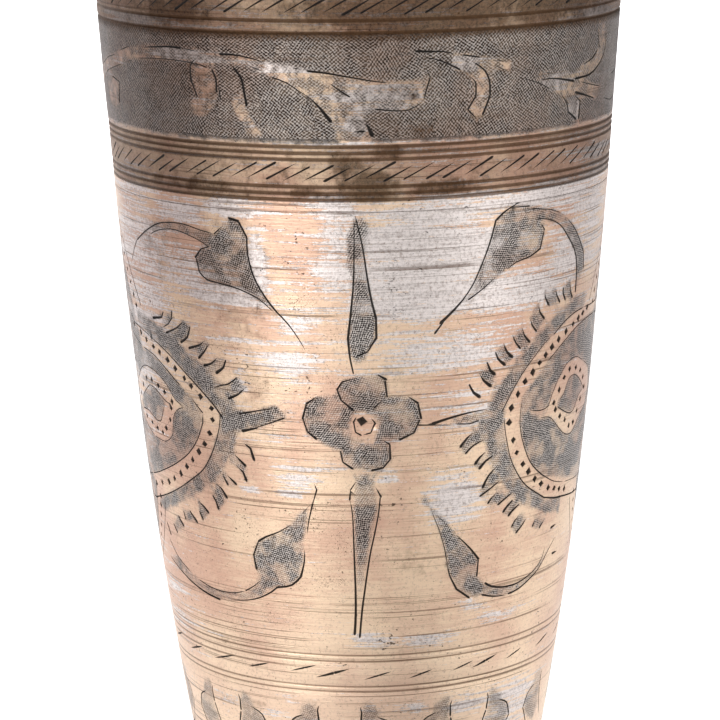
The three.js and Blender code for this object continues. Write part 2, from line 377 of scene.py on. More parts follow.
LEFT_EYE = [(-41, 93.8), (-44, 94.9), (-47, 97.5), (-51, 99.2), (-56, 99.6), (-60, 98.3), (-65, 95)]
LEFT_EYE_LOW = [
    (-41, 93.8), (-43, 93.3), (-45, 91.8), (-46, 89.5), (-46.5, 87.5), (-48.3, 86), (-50.8, 85.1),
    (-56, 85.2),
]
LEFT_EYE_END = [(-66.5, 91.5), (-62, 87.5)]
RIGHT_EYE_END = [(59.5, 97.5), (61.5, 93.5), (59.5, 90)]
LEFT_PUPIL_TOP = [(-62, 92), (-57, 94.9), (-55, 95.8), (-52, 95.5), (-48, 93.9), (-46, 93.6)]
LEFT_PUPIL_LOW = [(-48.5, 93.3), (-50, 91), (-51, 89.5), (-53, 88.9), (-58, 90), (-62, 89.7)]
RIGHT_EYE_TOP = [
    (34.8, 93.7), (38, 93.2), (40.5, 93.6), (41.3, 95.5), (43.3, 98.5), (46, 101), (50, 101.7),
    (54.5, 100),
]
RIGHT_EYE_LOW = [(38, 91.7), (41, 91.3), (43, 90), (45, 88.3), (48, 86.4), (51.5, 86), (55.5, 88.5)]
RIGHT_PUPIL_TOP = [(44, 94), (46, 95), (47.5, 97.6), (50, 98.1), (53, 96.7), (56.5, 94)]
RIGHT_PUPIL_LOW = [(44, 92.7), (47, 91.2), (50, 90.2), (52, 91), (53.5, 93), (56.5, 94)]

# The medallion's upper and lower lobes, as arcs from its own middle, and the buds in them, (base, tip) each.
CROWN_OUTER = [(17, 112), (14.5, 116), (11, 121), (6, 127), (0, 132.5)]
CROWN_INNER = [(12.2, 108.8), (10.4, 112.8), (7.9, 117.8), (4.3, 123.8), (0, 129.3)]
ROOT_OUTER = [(17, 71.5), (15, 67.5), (11.5, 62.5), (6, 57), (0, 51.5)]
ROOT_INNER = [(12.2, 74.7), (10.8, 70.7), (8.3, 65.7), (4.3, 60.2), (0, 54.7)]
LOBE_BUDS = [(110.5, 121.5), (73, 62)]
BUD_HALF_WIDTH = 3
BUD_WIDEST = 0.4  # of the way up a bud
ROSETTE_HEIGHT = 92.5
ROSETTE_WAYS = [(math.sin(math.radians(45 * i)), math.cos(math.radians(45 * i))) for i in range(8)]
MEDALLION = HALF_TURN / 2

LOBE_CUTS = [
    (LEFT_OUTER_TOP, 0.45, 0.2),
    ([(-51, 106.1), (-56, 107), (-61, 107.5)], 0.15, 0.35),
    (LEFT_OUTER_LOW, 0.25, 0.35),
    ([(-43.5, 77.8), (-49, 75.2), (-55, 73), (-62, 71)], 0.25, 0.35),
    (LEFT_INNER_TOP[1:], 0.3, 0.2),
    ([(-38.8, 96.4), (-35.5, 93.7)], 0.2, 0.35),
    ([(-35.5, 93.6), (-35.8, 91.5)], 0.25, 0.4),
    (LEFT_INNER_LOW, 0.3, 0.25),
    (RIGHT_OUTER_TOP, 0.3, 0.15),
    ([(40.5, 108), (44, 110), (48, 111.1), (52, 111.3)], 0.3, 0.25),
    (RIGHT_OUTER_LOW, 0.2, 0.35),
    ([(41.5, 74.7), (46, 73.6), (49, 73.2)], 0.3, 0.5),
    (RIGHT_INNER_TOP, 0.25, 0.2),
    (RIGHT_INNER_LOW, 0.15, 0.35),
    ([(40.5, 79.5), (45, 77.3), (50, 76)], 0.3, 0.12),
    (LEFT_EYE, 0.2, 0.2),
    (LEFT_EYE_LOW, 0.2, 0.2),
    (LEFT_PUPIL_TOP, 0.2, 0.25),
    (LEFT_PUPIL_LOW, 0.2, 0.3),
    (RIGHT_EYE_TOP, 0.25, 0.15),
    (RIGHT_EYE_LOW, 0.2, 0.2),
    (RIGHT_PUPIL_TOP, 0.2, 0.2),
    (RIGHT_PUPIL_LOW, 0.3, 0.2),
    ([(-61, 107.5), (-65, 109.2), (-68, 112)], 0.3, 0.3),
    ([(-57, 103.3), (-66, 105.4), (-72.8, 108.8)], 0.2, 0.2),
    ([(-62, 71), (-65, 70.8), (-68, 71.5)], 0.3, 0.3),
    ([(-62, 76), (-68, 74.8), (-72.8, 74.7)], 0.25, 0.2),
    ([(52, 111.3), (60, 111), (68, 112)], 0.25, 0.3),
    ([(60, 108.6), (67, 108), (72.8, 108.8)], 0.2, 0.2),
    ([(49, 73.2), (58, 72), (68, 71.5)], 0.4, 0.3),
    ([(50, 76), (60, 75), (72.8, 74.7)], 0.15, 0.2),
    ([LEFT_EYE[-1], *LEFT_EYE_END, LEFT_EYE_LOW[-1]], 0.2, 0.2),
    ([RIGHT_EYE_TOP[-1], *RIGHT_EYE_END, RIGHT_EYE_LOW[-1]], 0.15, 0.2),
    ([LEFT_PUPIL_TOP[0], (-63, 90.8), LEFT_PUPIL_LOW[-1]], 0.2, 0.2),
]

# Centres of the diamonds between the two outlines of each lobe, and of those round each eye. The large ones
# have their sizes with them.
LOBE_PUNCHES = [
    (-61.8, 107), (-57.2, 106.2), (-54.3, 105.2), (-51, 104.4), (-48.5, 103.8), (-45.5, 102.6),
    (-43, 101.4), (-40.2, 99.9), (-38.2, 98.7), (-35.8, 97.1), (-33, 95), (-32.9, 92.7), (-34.2, 89.8),
    (-35.9, 87.3), (-37.9, 85.4), (-40.2, 83.3), (-42.6, 81.5), (-45.3, 79.6), (-48.3, 78),
    (-51.2, 76.7), (-55.3, 75.5), (-60, 74.5), (29.6, 92.1), (29.9, 95.1), (31.3, 97.6), (33, 99.8),
    (36.7, 103), (38.4, 104.3), (40.2, 105.5), (42.3, 106.7), (44.7, 107.8), (47.4, 108.8),
    (49.8, 109.6), (51.8, 110.2), (54.2, 110.8), (30.9, 88.5), (32.1, 85.7), (34, 83), (38, 79.3),
    (40.3, 77.8), (43, 76.3), (45.7, 75.7), (48, 75.1), (50.8, 74.4),
]
EYE_PUNCHES = [
    (-60, 95), (-57, 97), (-53.8, 97.1), (-50.8, 96.6), (-48.2, 95.7), (-45.5, 94.3), (-46, 92.8),
    (-47, 90.3), (-49.2, 88.1), (-51, 86.9), (-53.7, 87.3), (-56.5, 87.9), (-60, 88.5), (42.5, 93.9),
    (44.1, 96.2), (45.6, 98.4), (47.7, 99.7), (50.7, 99.4), (53.3, 98.2), (55.5, 96.4), (57.3, 94),
    (45.2, 90.6), (47.5, 89.3), (49.8, 87.7), (52, 88), (53.7, 89.8), (55.3, 92),
]
LARGE_PUNCHES = [(35, 101.5, 1.9), (35.8, 81.1, 1.9), (43.2, 92.3, 1.8), (-0.9, 95, 2.2)]
LOBE_PUNCH = 1.75
EYE_PUNCH = 1.5
FRINGE_WIDER = 1.25


def end_lobes():
    """Cuts and punches of the medallion's pointed upper and lower lobes, and of the rosette in its middle."""
    strokes = []
    diamonds = []
    for side in (-1, 1):
        for outer, inner in ((CROWN_OUTER, CROWN_INNER), (ROOT_OUTER, ROOT_INNER)):
            strokes.append(([(MEDALLION + side * a, h) for a, h in outer], 0.3, 0.4))
            strokes.append(([(MEDALLION + side * a, h) for a, h in inner], 0.2, 0.3))
            track = np.mean([outer, inner], axis=0)
            for spot in np.linspace(0.25, 3.75, 8):
                arc, height = (np.interp(spot, range(len(track)), track[:, axis]) for axis in (0, 1))
                diamonds.append((MEDALLION + side * arc, height, EYE_PUNCH))
        for base, tip in LOBE_BUDS:
            bud = [(0, base), (side * BUD_HALF_WIDTH, base + (tip - base) * BUD_WIDEST), (0, tip)]
            strokes.append(([(MEDALLION + a, h) for a, h in bud], 0.3, 0.4))
    for a, h in ROSETTE_WAYS:
        near, far, spot = (tuple((MEDALLION, ROSETTE_HEIGHT) + np.array([a, h]) * r) for r in (3.2, 6.8, 9))
        strokes.append(([near, far], 0.6, 0.2))
        diamonds.append((*spot, 1.4))
    diamonds.append((MEDALLION, ROSETTE_HEIGHT, 2.4))
    return strokes, diamonds


# Stems, leaves and tendrils of the band under the rim.
VINE_CUTS = [
    ([(-72, 154.5), (-67, 156), (-62, 158.3), (-57, 159.6), (-52, 160.8)], 0.2, 0.2),
    ([(-72, 158), (-64, 160), (-60, 161.3), (-55, 162.3)], 0.2, 0.2),
    ([(-53, 163.2), (-48, 164.6)], 0.2, 0.25),
    ([(-51, 161.2), (-47, 162)], 0.2, 0.15),
    ([(-44, 164.6), (-40, 165), (-36, 165.3), (-33.5, 165.2)], 0.2, 0.5),
    ([(-33.5, 165.3), (-29.5, 164.7)], 0.2, 0.15),
    ([(-46, 162.4), (-40, 162.8), (-34, 162.8), (-30, 162.4)], 0.15, 0.2),
    ([(-58, 157.7), (-54.6, 157.1)], 0.4, 0.3),
    ([(-54.5, 157.1), (-55.5, 152.9)], 0.35, 0.7),
    ([(-30, 163.5), (-31.6, 162), (-31.6, 159)], 0.2, 0.5),
    ([(-31.6, 159.2), (-30.5, 156.3)], 0.35, 0.35),
    ([(-30.5, 162.6), (-28, 161.9)], 0.2, 0.3),
    ([(-26.9, 161.5), (-26.2, 160), (-26.2, 157.4)], 0.4, 0.35),
    ([(-25.8, 159.4), (-25.5, 156)], 0.2, 0.3),
    ([(-22.5, 162), (-21.2, 160.3), (-20.8, 158), (-20.4, 155)], 0.4, 0.5),
    ([(-25.2, 164.5), (-21.5, 164.4), (-17, 163.4)], 0.5, 0.15),
    ([(-20, 162.8), (-16.8, 161.4)], 0.2, 0.25),
    ([(-15.4, 160.5), (-13, 159.6), (-11, 158.2), (-9, 156.9)], 0.3, 0.15),
    ([(-12, 162.4), (-10.5, 162.1)], 0.25, 0.2),
    ([(-9.2, 157), (-7.5, 155.2), (-5.4, 152.3)], 0.2, 0.75),
    ([(-9.3, 161.8), (-6, 161.4), (-2, 160.6), (2, 159.8), (4.3, 159.5)], 0.45, 0.2),
    ([(-5.7, 159.7), (-3.8, 158.1), (-2.2, 157)], 0.2, 0.35),
    ([(2, 154.7), (5, 154.3), (7.5, 154.3), (9, 155), (10, 155.8)], 0.3, 0.2),
    ([(10.2, 156), (10.7, 158), (11.3, 160.2)], 0.25, 0.3),
    ([(11.3, 160.2), (10.6, 162)], 0.25, 0.15),
    ([(0.4, 152.4), (1.6, 149.6)], 0.2, 1.0),
    ([(-1.8, 150.5), (0.2, 150.6)], 0.15, 0.45),
    ([(8.8, 165.2), (11, 165), (13.5, 164.9), (15.6, 164.3)], 0.5, 0.2),
    ([(10, 164), (12, 163.6), (14, 162.8), (16.5, 161.4)], 0.15, 0.4),
    ([(17, 164.1), (20, 163.5)], 0.3, 0.3),
    ([(22.5, 162.7), (26, 162.3)], 0.2, 0.2),
    ([(22.3, 162), (25.8, 160.4)], 0.2, 0.2),
    ([(19.3, 162.4), (21, 161), (22, 159), (22.2, 156.5)], 0.3, 0.45),
    ([(22.3, 156.6), (21.9, 155.3), (20.9, 152.7)], 0.35, 0.5),
    ([(18.3, 160.2), (19.4, 158.9), (19.5, 156.3)], 0.2, 0.4),
    ([(19.5, 156.3), (18.1, 153.9)], 0.35, 0.35),
    ([(18.1, 153.9), (20, 151.8)], 0.3, 0.25),
    ([(28.5, 159), (33, 157.4), (35.5, 156)], 0.12, 0.25),
    ([(33, 159.7), (36.5, 159)], 0.15, 0.2),
    ([(32.5, 158.2), (36, 158.2), (41.7, 157.1)], 0.15, 0.55),
    ([(42, 157.5), (47, 157.8), (50, 159), (52, 160.5), (53.2, 162.5), (53, 165)], 0.5, 0.35),
    ([(44, 159.9), (47.5, 160.8), (49.4, 162.2)], 0.15, 0.45),
    ([(49.2, 166.2), (49.5, 164), (50.2, 162.6)], 0.2, 0.35),
    ([(43.5, 156.8), (48, 155.7), (52, 154.9)], 0.15, 0.25),
    ([(38, 155), (40, 153.1), (40.5, 151.4)], 0.2, 0.45),
    ([(40.4, 151.4), (43.2, 149.6)], 0.4, 0.6),
    ([(42, 154.4), (44.1, 153)], 0.2, 0.35),
    ([(44.1, 153.1), (44, 149.6)], 0.4, 0.65),
    ([(42.3, 154.9), (46, 153.9), (50, 152.7)], 0.6, 0.2),
    ([(54, 152.4), (60, 151.4), (66, 152.6), (72.3, 154.5)], 0.2, 0.2),
    ([(58, 156.5), (64, 157), (72.3, 158)], 0.2, 0.2),
    ([(64, 165.5), (62, 163), (63, 160.5), (66, 160)], 0.3, 0.5),
]
LOW_BUD_ARCS = [-7.3 + i * TURN / 9 for i in range(9)]


def buds():
    """Round-headed buds below the lower ring, standing on stems that meet above the foot."""
    strokes = []
    for arc in LOW_BUD_ARCS:
        for side, lean in ((-1, -0.4), (1, 0.5)):
            head = [(arc + side * 4.9, 35.8), (arc + side * 5.3, 34.6), (arc + side * 5.1, 32.2)]
            flank = [(arc + side * 5, 31.8), (arc + side * 3.6, 28.3), (arc + side * 1.6, 25.2)]
            sepal = [(arc + side * 8.6, 33.6), (arc + side * 11.8, 32.2), (arc + side * 13, 29.6)]
            stem = [(arc + side * 13.2, 29.4), (arc + side * 9, 24.4), (arc + side * 2 + lean, 22.6)]
            strokes += [(head[:2], 0.2, 0.4), (head[1:], 0.4, 0.55), (flank, 0.5, 0.25)]
            strokes += [(sepal, 0.25, 0.5), (stem, 0.4, 0.2)]
    return strokes


def rope(low, high, count, rise, width):
    """A band of leaning cuts all the way round, each one uneven as hand work is."""
    strokes = []
    for i in range(count):
        arc = i * TURN / count - HALF_TURN + rng.uniform(-0.35, 0.35)
        reach = (high - low) / rise * rng.uniform(0.88, 1.05)
        start = low + rng.uniform(-0.15, 0.25)
        bold = width * rng.uniform(0.65, 1.25)
        line = [(arc, start), (arc + reach, start + reach * rise)]
        strokes.append((line, THIN_END, bold) if rng.random() < 0.5 else (line, bold, THIN_END))
    return strokes


TICK_RISE = 0.26
# The lower band's cuts: (arc, height, reach, width) each.
LOWER_TICKS = [
    (-41.8, 42.0, 8.2, 0.42), (-30.3, 42.2, 6.4, 0.45), (-18.8, 42.7, 6.8, 0.4),
    (-12.8, 41.7, 8.4, 0.65), (-1.5, 41.5, 6.6, 0.4), (8.7, 41.4, 6, 0.45), (19.2, 42, 5.6, 0.4),
    (24.2, 41.8, 7.4, 0.65), (34.4, 42, 5.3, 0.4), (45.5, 42.1, 6.5, 0.45), (56, 41.9, 6.8, 0.45),
    (67, 42, 6.4, 0.45), (-53, 41.8, 7, 0.45), (-64.5, 42.1, 7, 0.45),
]


def lower_ticks():
    """Long thin leaning cuts in the lower band, widest a little past the middle."""
    strokes = []
    for arc, height, reach, width in LOWER_TICKS:
        middle = (arc + reach * 0.55, height + reach * 0.55 * TICK_RISE)
        end = (arc + reach, height + reach * TICK_RISE)
        strokes += [([(arc, height), middle], 0.2, width), ([middle, end], width, 0.2)]
    return strokes


def panel_strokes():
    """The cuts of half of the way round, and its punches, (arc, height, size) each."""
    ends, diamonds = end_lobes()
    fringes = [(points, FRINGE_WIDER * start, FRINGE_WIDER * end) for points, start, end in FRINGE_CUTS]
    groups = [FLOWER_CUTS, SPEAR_CUTS, UPPER_LEAF_CUTS, LOWER_LEAF_CUTS, SIDE_LEAF_CUTS, fringes, LOBE_CUTS]
    groups += [VINE_CUTS, lower_ticks(), ends]
    punches = [(*p, LOBE_PUNCH) for p in LOBE_PUNCHES] + [(*p, EYE_PUNCH) for p in EYE_PUNCHES]
    return [stroke for group in groups for stroke in group], punches + LARGE_PUNCHES + diamonds


def ornament():
    """Every cut and punch of the barrel, on a sheet that is SEAM_MARGIN longer than a turn at both ends."""
    strokes, diamonds = panel_strokes()
    cuts = [moved(cut(*s), arc) for arc in (0, HALF_TURN) for s in strokes]
    ropes = rope(141.3, 144.5, count=82, rise=0.56, width=0.48)
    ropes += rope(172.1, 175.9, count=84, rise=0.62, width=0.5)
    cuts += [cut(*s) for s in ropes + buds()]
    pits = []
    for arc in (0, HALF_TURN):
        for a, h, size in diamonds:
            pits.append(punch(a + arc, h, size, rng.uniform(-PUNCH_TURN, PUNCH_TURN)))
    limit = HALF_TURN + SEAM_MARGIN
    wrapped = []
    for stroke in cuts:
        for turn in (-TURN, 0, TURN):
            copy = moved(stroke, turn)
            copy["line"] = set_out(copy["line"])
            if copy["line"][:, 0].max() > -limit and copy["line"][:, 0].min() < limit:
                wrapped.append(copy)
    spots = []
    for pit in pits:
        for turn in (-TURN, 0, TURN):
            centre, corners = (set_out(pit[key] + (turn, 0)) for key in ("centre", "corners"))
            if abs(centre[0]) < limit:
                spots.append({**pit, "centre": centre, "corners": corners})
    return wrapped, spots


# ------------------------------------------------------------------------------------------- hatched zones
LEAF_UPPER_LEFT = [
    (-25.4, 133.4), (-23.3, 132.8), (-21.9, 130), (-21.9, 126), (-20.9, 122.5), (-19.5, 119.7),
    (-16.8, 116), (-20, 118), (-24, 119.5), (-28, 120.2), (-31.3, 120.7), (-33, 122), (-33.7, 124.7),
    (-32, 126.6), (-30, 127.2), (-33, 128.4), (-37, 129.4), (-41, 129.5), (-46, 128.2), (-50, 127.3),
    (-47, 129), (-44, 130.2), (-40, 131), (-36, 131.1), (-32, 130.4), (-28.8, 129.9), (-26.6, 131.9),
]
LEAF_UPPER_RIGHT = [
    (24.5, 132.5), (26, 133.8), (29, 134.7), (32, 134.2), (35, 133.4), (38, 132.8), (42, 130.8),
    (46, 127.6), (49.5, 123.3), (50.2, 119.5), (47.5, 116), (47.3, 119.5), (46, 123.5), (43, 127),
    (40, 129.8), (36, 131.4), (34.6, 131), (35.7, 129.2), (34.9, 126), (32.5, 124.7), (29, 123.9),
    (26.5, 122.6), (22, 119.5), (18.7, 117.7), (20, 120.5), (22, 125), (23.5, 129),
]
LEAF_LOWER_LEFT = [
    (-12.4, 77), (-13.9, 76), (-16.4, 73.2), (-19.2, 71.4), (-22, 70), (-24.2, 68.8), (-25.4, 66),
    (-24.9, 63), (-24, 61), (-19.8, 60.2), (-17, 60.9), (-14.9, 62.8), (-13.9, 66), (-13.8, 70),
    (-12.9, 73.5),
]
STEM_LOWER_LEFT = [
    (-20.4, 60.2), (-25, 57.6), (-28, 56.5), (-33, 55.7), (-37, 55.3), (-41, 55.7), (-46, 56.7),
    (-51, 58.1), (-56, 59.7), (-52, 60.8), (-46, 58.4), (-43.5, 57.7), (-40, 57.1), (-36, 56.8),
    (-32, 57.1), (-28.5, 57.9), (-26, 59.4), (-24, 61.5),
]
LEAF_LOWER_RIGHT = [
    (12.8, 77), (10.5, 78.8), (11.2, 79.8), (13.2, 77.5), (14.2, 75.4), (16.5, 73.5), (18, 71),
    (20.4, 68.9), (22.2, 67), (23.9, 64.9), (23.9, 61.5), (26, 59.6), (28, 58.6), (31, 58), (35, 57.8),
    (38.5, 58.5), (41.5, 59.7), (43.7, 61.3), (46, 63), (43, 60), (40, 58.3), (36, 56.8), (32.5, 56.4),
    (29, 56.7), (25.7, 57.4), (22.5, 57.5), (19.4, 59.5), (17.7, 62.5), (16.9, 65), (16.1, 68.5),
    (14.9, 72), (13.6, 75),
]
SPEAR_UPPER = [
    (-1.8, 134), (-3, 131), (-3.2, 126), (-2.6, 124), (-2.2, 120), (-2.8, 115), (-3.2, 111),
    (-2.9, 108), (-2, 106.3), (-0.6, 106.3), (0, 108.2), (1.7, 111), (1.8, 115), (0.9, 119),
    (0.2, 123.5), (-0.3, 127.5), (0.6, 131), (1, 134.5),
]
SPEAR_LOWER = [
    (-2.2, 83.2), (-0.5, 83.8), (1, 83.4), (1.2, 81), (1.8, 77), (0.6, 73), (0, 69), (-0.8, 65),
    (-1.4, 61), (-2, 59), (-2.6, 62), (-2.6, 68), (-2.7, 73), (-2.9, 77), (-2.6, 81),
]
FLOWER = [
    (-5.6, 101), (-4.6, 102.6), (-2.2, 103.8), (2.2, 104), (3.8, 103), (3.9, 99.6), (7.7, 99.7),
    (9.9, 98.1), (10.5, 95), (9.1, 92.3), (6.2, 91), (4.4, 90.2), (4.5, 87.2), (3, 85.4), (0.8, 85),
    (-2.8, 85.3), (-4.8, 86.7), (-5.2, 89), (-8, 90), (-9.8, 91.1), (-11.6, 92.4), (-12.5, 95),
    (-11.6, 98.1), (-9.4, 99.6), (-6, 100),
]
BOSS = [
    (-3.4, 94.4), (-2.4, 96.8), (0.8, 96.6), (2.5, 94.4), (1.6, 91.6), (1.4, 89.6), (-0.4, 90.6),
    (-2.8, 91.6),
]
SIDE_LEFT = [
    (-31, 93), (-28, 91), (-25.8, 91.6), (-22, 92.6), (-16.2, 95), (-16.5, 97), (-18.3, 97.2),
    (-23, 95.5), (-30, 96),
]
SIDE_RIGHT = [
    (16.5, 93.6), (17, 94.6), (24, 95.6), (28, 96), (28.4, 90), (24.5, 89), (21.5, 91), (22.5, 93.2),
]
VINE_BAND = [(-76, 148.4), (76, 148.4), (76, 168.3), (-76, 168.3)]
RIBBON = [
    (-76, 156), (-72, 158), (-64, 160), (-60, 161.3), (-55, 162.4), (-50, 164), (-44, 164.7),
    (-40, 165.1), (-36, 165.3), (-30, 164.9), (-25.2, 164.6), (-21.5, 164.4), (-17, 163.4),
    (-12, 162.4), (-9, 161.8), (-6, 161.4), (-2, 160.6), (4.2, 159.5), (10.5, 159.9), (11.3, 160.2),
    (10.7, 158), (10.2, 156), (9, 155), (7.5, 154.3), (5, 154.3), (2, 154.7), (0.5, 154.8),
    (-0.5, 152.5), (1.2, 149.5), (2, 148.4), (-4.5, 148.4), (-4.4, 150.5), (-5.6, 153.6), (-7.5, 155.4),
    (-9.2, 157.1), (-11, 158.4), (-13, 159.7), (-15.4, 160.6), (-17, 161.4), (-20, 162.7), (-26, 163.2),
    (-28, 162.1), (-31, 162.4), (-34, 162.8), (-40, 162.8), (-46, 162.3), (-52, 160.8), (-57, 159.6),
    (-62.5, 158.2), (-67, 156), (-72, 154.5), (-76, 154),
]
VINE_LEAVES = [
    [(-30, 163), (-31.5, 162), (-31.6, 159), (-30.5, 156.3), (-32, 154.8), (-32, 152.8), (-29, 153),
     (-27, 155), (-26.2, 157.5), (-26.1, 160), (-26.8, 161.6)],
    [(-22.4, 156.5), (-21, 157.5), (-20.8, 155), (-20.2, 153), (-19, 151.3), (-18, 150), (-19.5, 149.6),
     (-21.5, 152), (-23.2, 155)],
    [(15, 162.2), (15.6, 164.3), (20, 163.5), (26, 162.4), (25.6, 160.4), (22.3, 161.9), (21, 161),
     (22, 159), (22.2, 156.5), (22, 155.4), (20.9, 152.8), (20, 151.8), (18, 153.9), (19.5, 156.3),
     (19.3, 158.9), (18.3, 160.2), (19, 161.8), (17, 161.2)],
    [(32.5, 159.7), (36.5, 159), (42, 158.4), (44, 159.8), (47.5, 160.7), (49.4, 162.2), (50.2, 162.8),
     (49.6, 164.2), (49.2, 166.2), (51, 167.5), (53, 165.2), (53.4, 162.5), (52, 160.4), (50, 159),
     (47, 157.8), (44, 157.2), (48, 155.8), (52, 154.8), (50, 152.7), (46, 153.9), (44, 153.6),
     (44, 149.4), (43, 149.5), (40.4, 151.3), (40, 153), (38, 155), (36, 156.2), (33.5, 157.6),
     (32, 158.4)],
    [(-58, 158), (-54.6, 157.3), (-55.4, 153), (-58, 152), (-62, 152.5), (-62, 156)],
]
FRINGE_LEFT = [
    (-58, 108), (-52, 106.5), (-44, 103.8), (-36, 98.9), (-30.4, 94.2), (-31.2, 91.3), (-32.6, 88.3),
    (-37.2, 81.8), (-44, 77.4), (-55, 72.8), (-60, 70.5), (-56, 69.6), (-45, 74), (-37.6, 77.6),
    (-32, 82), (-28, 87.5), (-26.5, 92), (-26.6, 97), (-29.5, 100.6), (-35, 104), (-42, 107.4),
    (-51, 110), (-58, 110.6),
]
FRINGE_RIGHT = [
    (52, 111.5), (47, 111), (41, 108.7), (34.5, 104.2), (29.5, 98.2), (27.8, 94), (28.5, 90),
    (30.4, 84.8), (35, 78.5), (42, 74.3), (49, 73), (49, 70), (42, 71.6), (35, 74.6), (30, 78.6),
    (26.6, 83.4), (24.6, 88), (23.6, 92), (24.4, 96), (26.5, 100), (30, 104), (35, 108), (41, 112),
    (47, 114), (53, 114.4),
]
TUFTED = [*range(0, 24, 2), *range(25, 37, 2), *range(38, 52, 2)]  # the first cuts of the hatched pairs


def tufts():
    """The small hatched tufts of the fringes, each between two of its cuts."""
    cuts = [points for points, *_ in FRINGE_CUTS]
    return [cuts[i] + cuts[i + 1][::-1] for i in TUFTED]


def medallion_field():
    """The medallion's ground inside its inner outline, from one panel's lobe across to the next panel's."""
    far = LEFT_INNER_TOP[::-1] + [(-35.8, 93.5)] + LEFT_INNER_LOW
    line = list(RIGHT_INNER_TOP)
    line += [(MEDALLION - a, h) for a, h in CROWN_INNER] + [(MEDALLION + a, h) for a, h in CROWN_INNER[::-1]]
    line += [(a + HALF_TURN, h) for a, h in far]
    line += [(MEDALLION + a, h) for a, h in ROOT_INNER] + [(MEDALLION - a, h) for a, h in ROOT_INNER[::-1]]
    return line + RIGHT_INNER_LOW[::-1]


def panel_zones():
    """(outline, hatched) in the order in which they cover each other."""
    left_eye = LEFT_EYE[::-1] + LEFT_EYE_LOW + LEFT_EYE_END[::-1]
    right_eye = RIGHT_EYE_TOP[::-1] + [(36, 92.5)] + RIGHT_EYE_LOW + RIGHT_EYE_END[::-1]
    left_pupil = LEFT_PUPIL_TOP[:5] + LEFT_PUPIL_LOW
    right_pupil = RIGHT_PUPIL_TOP + RIGHT_PUPIL_LOW[::-1]
    hatched = [LEAF_UPPER_LEFT, LEAF_UPPER_RIGHT, LEAF_LOWER_LEFT, STEM_LOWER_LEFT, LEAF_LOWER_RIGHT]
    hatched += [SPEAR_UPPER, SPEAR_LOWER, FLOWER, SIDE_LEFT, SIDE_RIGHT, FRINGE_LEFT, FRINGE_RIGHT]
    hatched += [*tufts(), medallion_field(), VINE_BAND]
    plain = [left_eye, right_eye, BOSS, RIBBON, *VINE_LEAVES]
    lobe_buds = []
    for base, tip in LOBE_BUDS:
        widest = base + (tip - base) * BUD_WIDEST
        bud = [(-BUD_HALF_WIDTH, widest), (0, base), (BUD_HALF_WIDTH, widest), (0, tip)]
        lobe_buds.append([(MEDALLION + a, h) for a, h in bud])
    rosette = [(MEDALLION + 4 * a, ROSETTE_HEIGHT + 4 * h) for a, h in ROSETTE_WAYS]
    zones = [(z, True) for z in hatched] + [(z, False) for z in plain]
    zones += [(left_pupil, True), (right_pupil, True)]
    return zones + [(z, False) for z in (*lobe_buds, rosette)]


BUD_GROUND = [
    (5.6, 36.6), (9.2, 35.6), (9.4, 33.4), (12.6, 31.4), (12, 28), (7, 25.4), (4.2, 27.6), (5.6, 31.8),
]


def bud_zones():
    """Hatching beside the heads of the lower buds."""
    zones = []
    for arc in LOW_BUD_ARCS:
        for side in (-1, 1):
            zones.append(([(arc + side * a, h) for a, h in BUD_GROUND], True))
    return zones


HATCH_REACH = 1.5  # how far outside and inside its edge a zone's distance is kept, in millimetres


def signed_distance(points, outline):
    """Distance of the points to a closed outline: positive inside, negative outside."""
    a = np.array(outline, float)
    b = np.roll(a, -1, axis=0)
    inside = np.zeros(len(points), bool)
    nearest = np.full(len(points), np.inf)
    for p, q in zip(a, b):
        side = q - p
        away = points - p
        share = np.clip(away @ side / max(side @ side, 1e-9), 0, 1)
        nearest = np.minimum(nearest, np.linalg.norm(away - share[:, None] * side, axis=1))
        crosses = (p[1] > points[:, 1]) != (q[1] > points[:, 1])
        if crosses.any():
            reach = p[0] + (points[:, 1] - p[1]) * side[0] / (side[1] if side[1] else 1)
            inside ^= crosses & (points[:, 0] < reach)
    return np.where(inside, nearest, -nearest)


def hatch_field(points):
    """How deep each sheet point lies in the hatched grounds."""
    field = np.full(len(points), -HATCH_REACH)
    zones = []
    for outline, hatched in panel_zones():
        zones += [([(a + arc, h) for a, h in outline], hatched) for arc in (0, HALF_TURN)]
    for outline, hatched in zones + bud_zones():
        for turn in (-TURN, 0, TURN):
            shape = set_out(np.array(outline) + (turn, 0))
            low, high = shape.min(axis=0) - HATCH_REACH, shape.max(axis=0) + HATCH_REACH
            near = np.nonzero(((points > low) & (points < high)).all(axis=1))[0]
            if len(near):
                distance = np.clip(signed_distance(points[near], shape), -HATCH_REACH, HATCH_REACH)
                covered = np.maximum(field[near], distance) if hatched else np.minimum(field[near], -distance)
                field[near] = covered
    return field
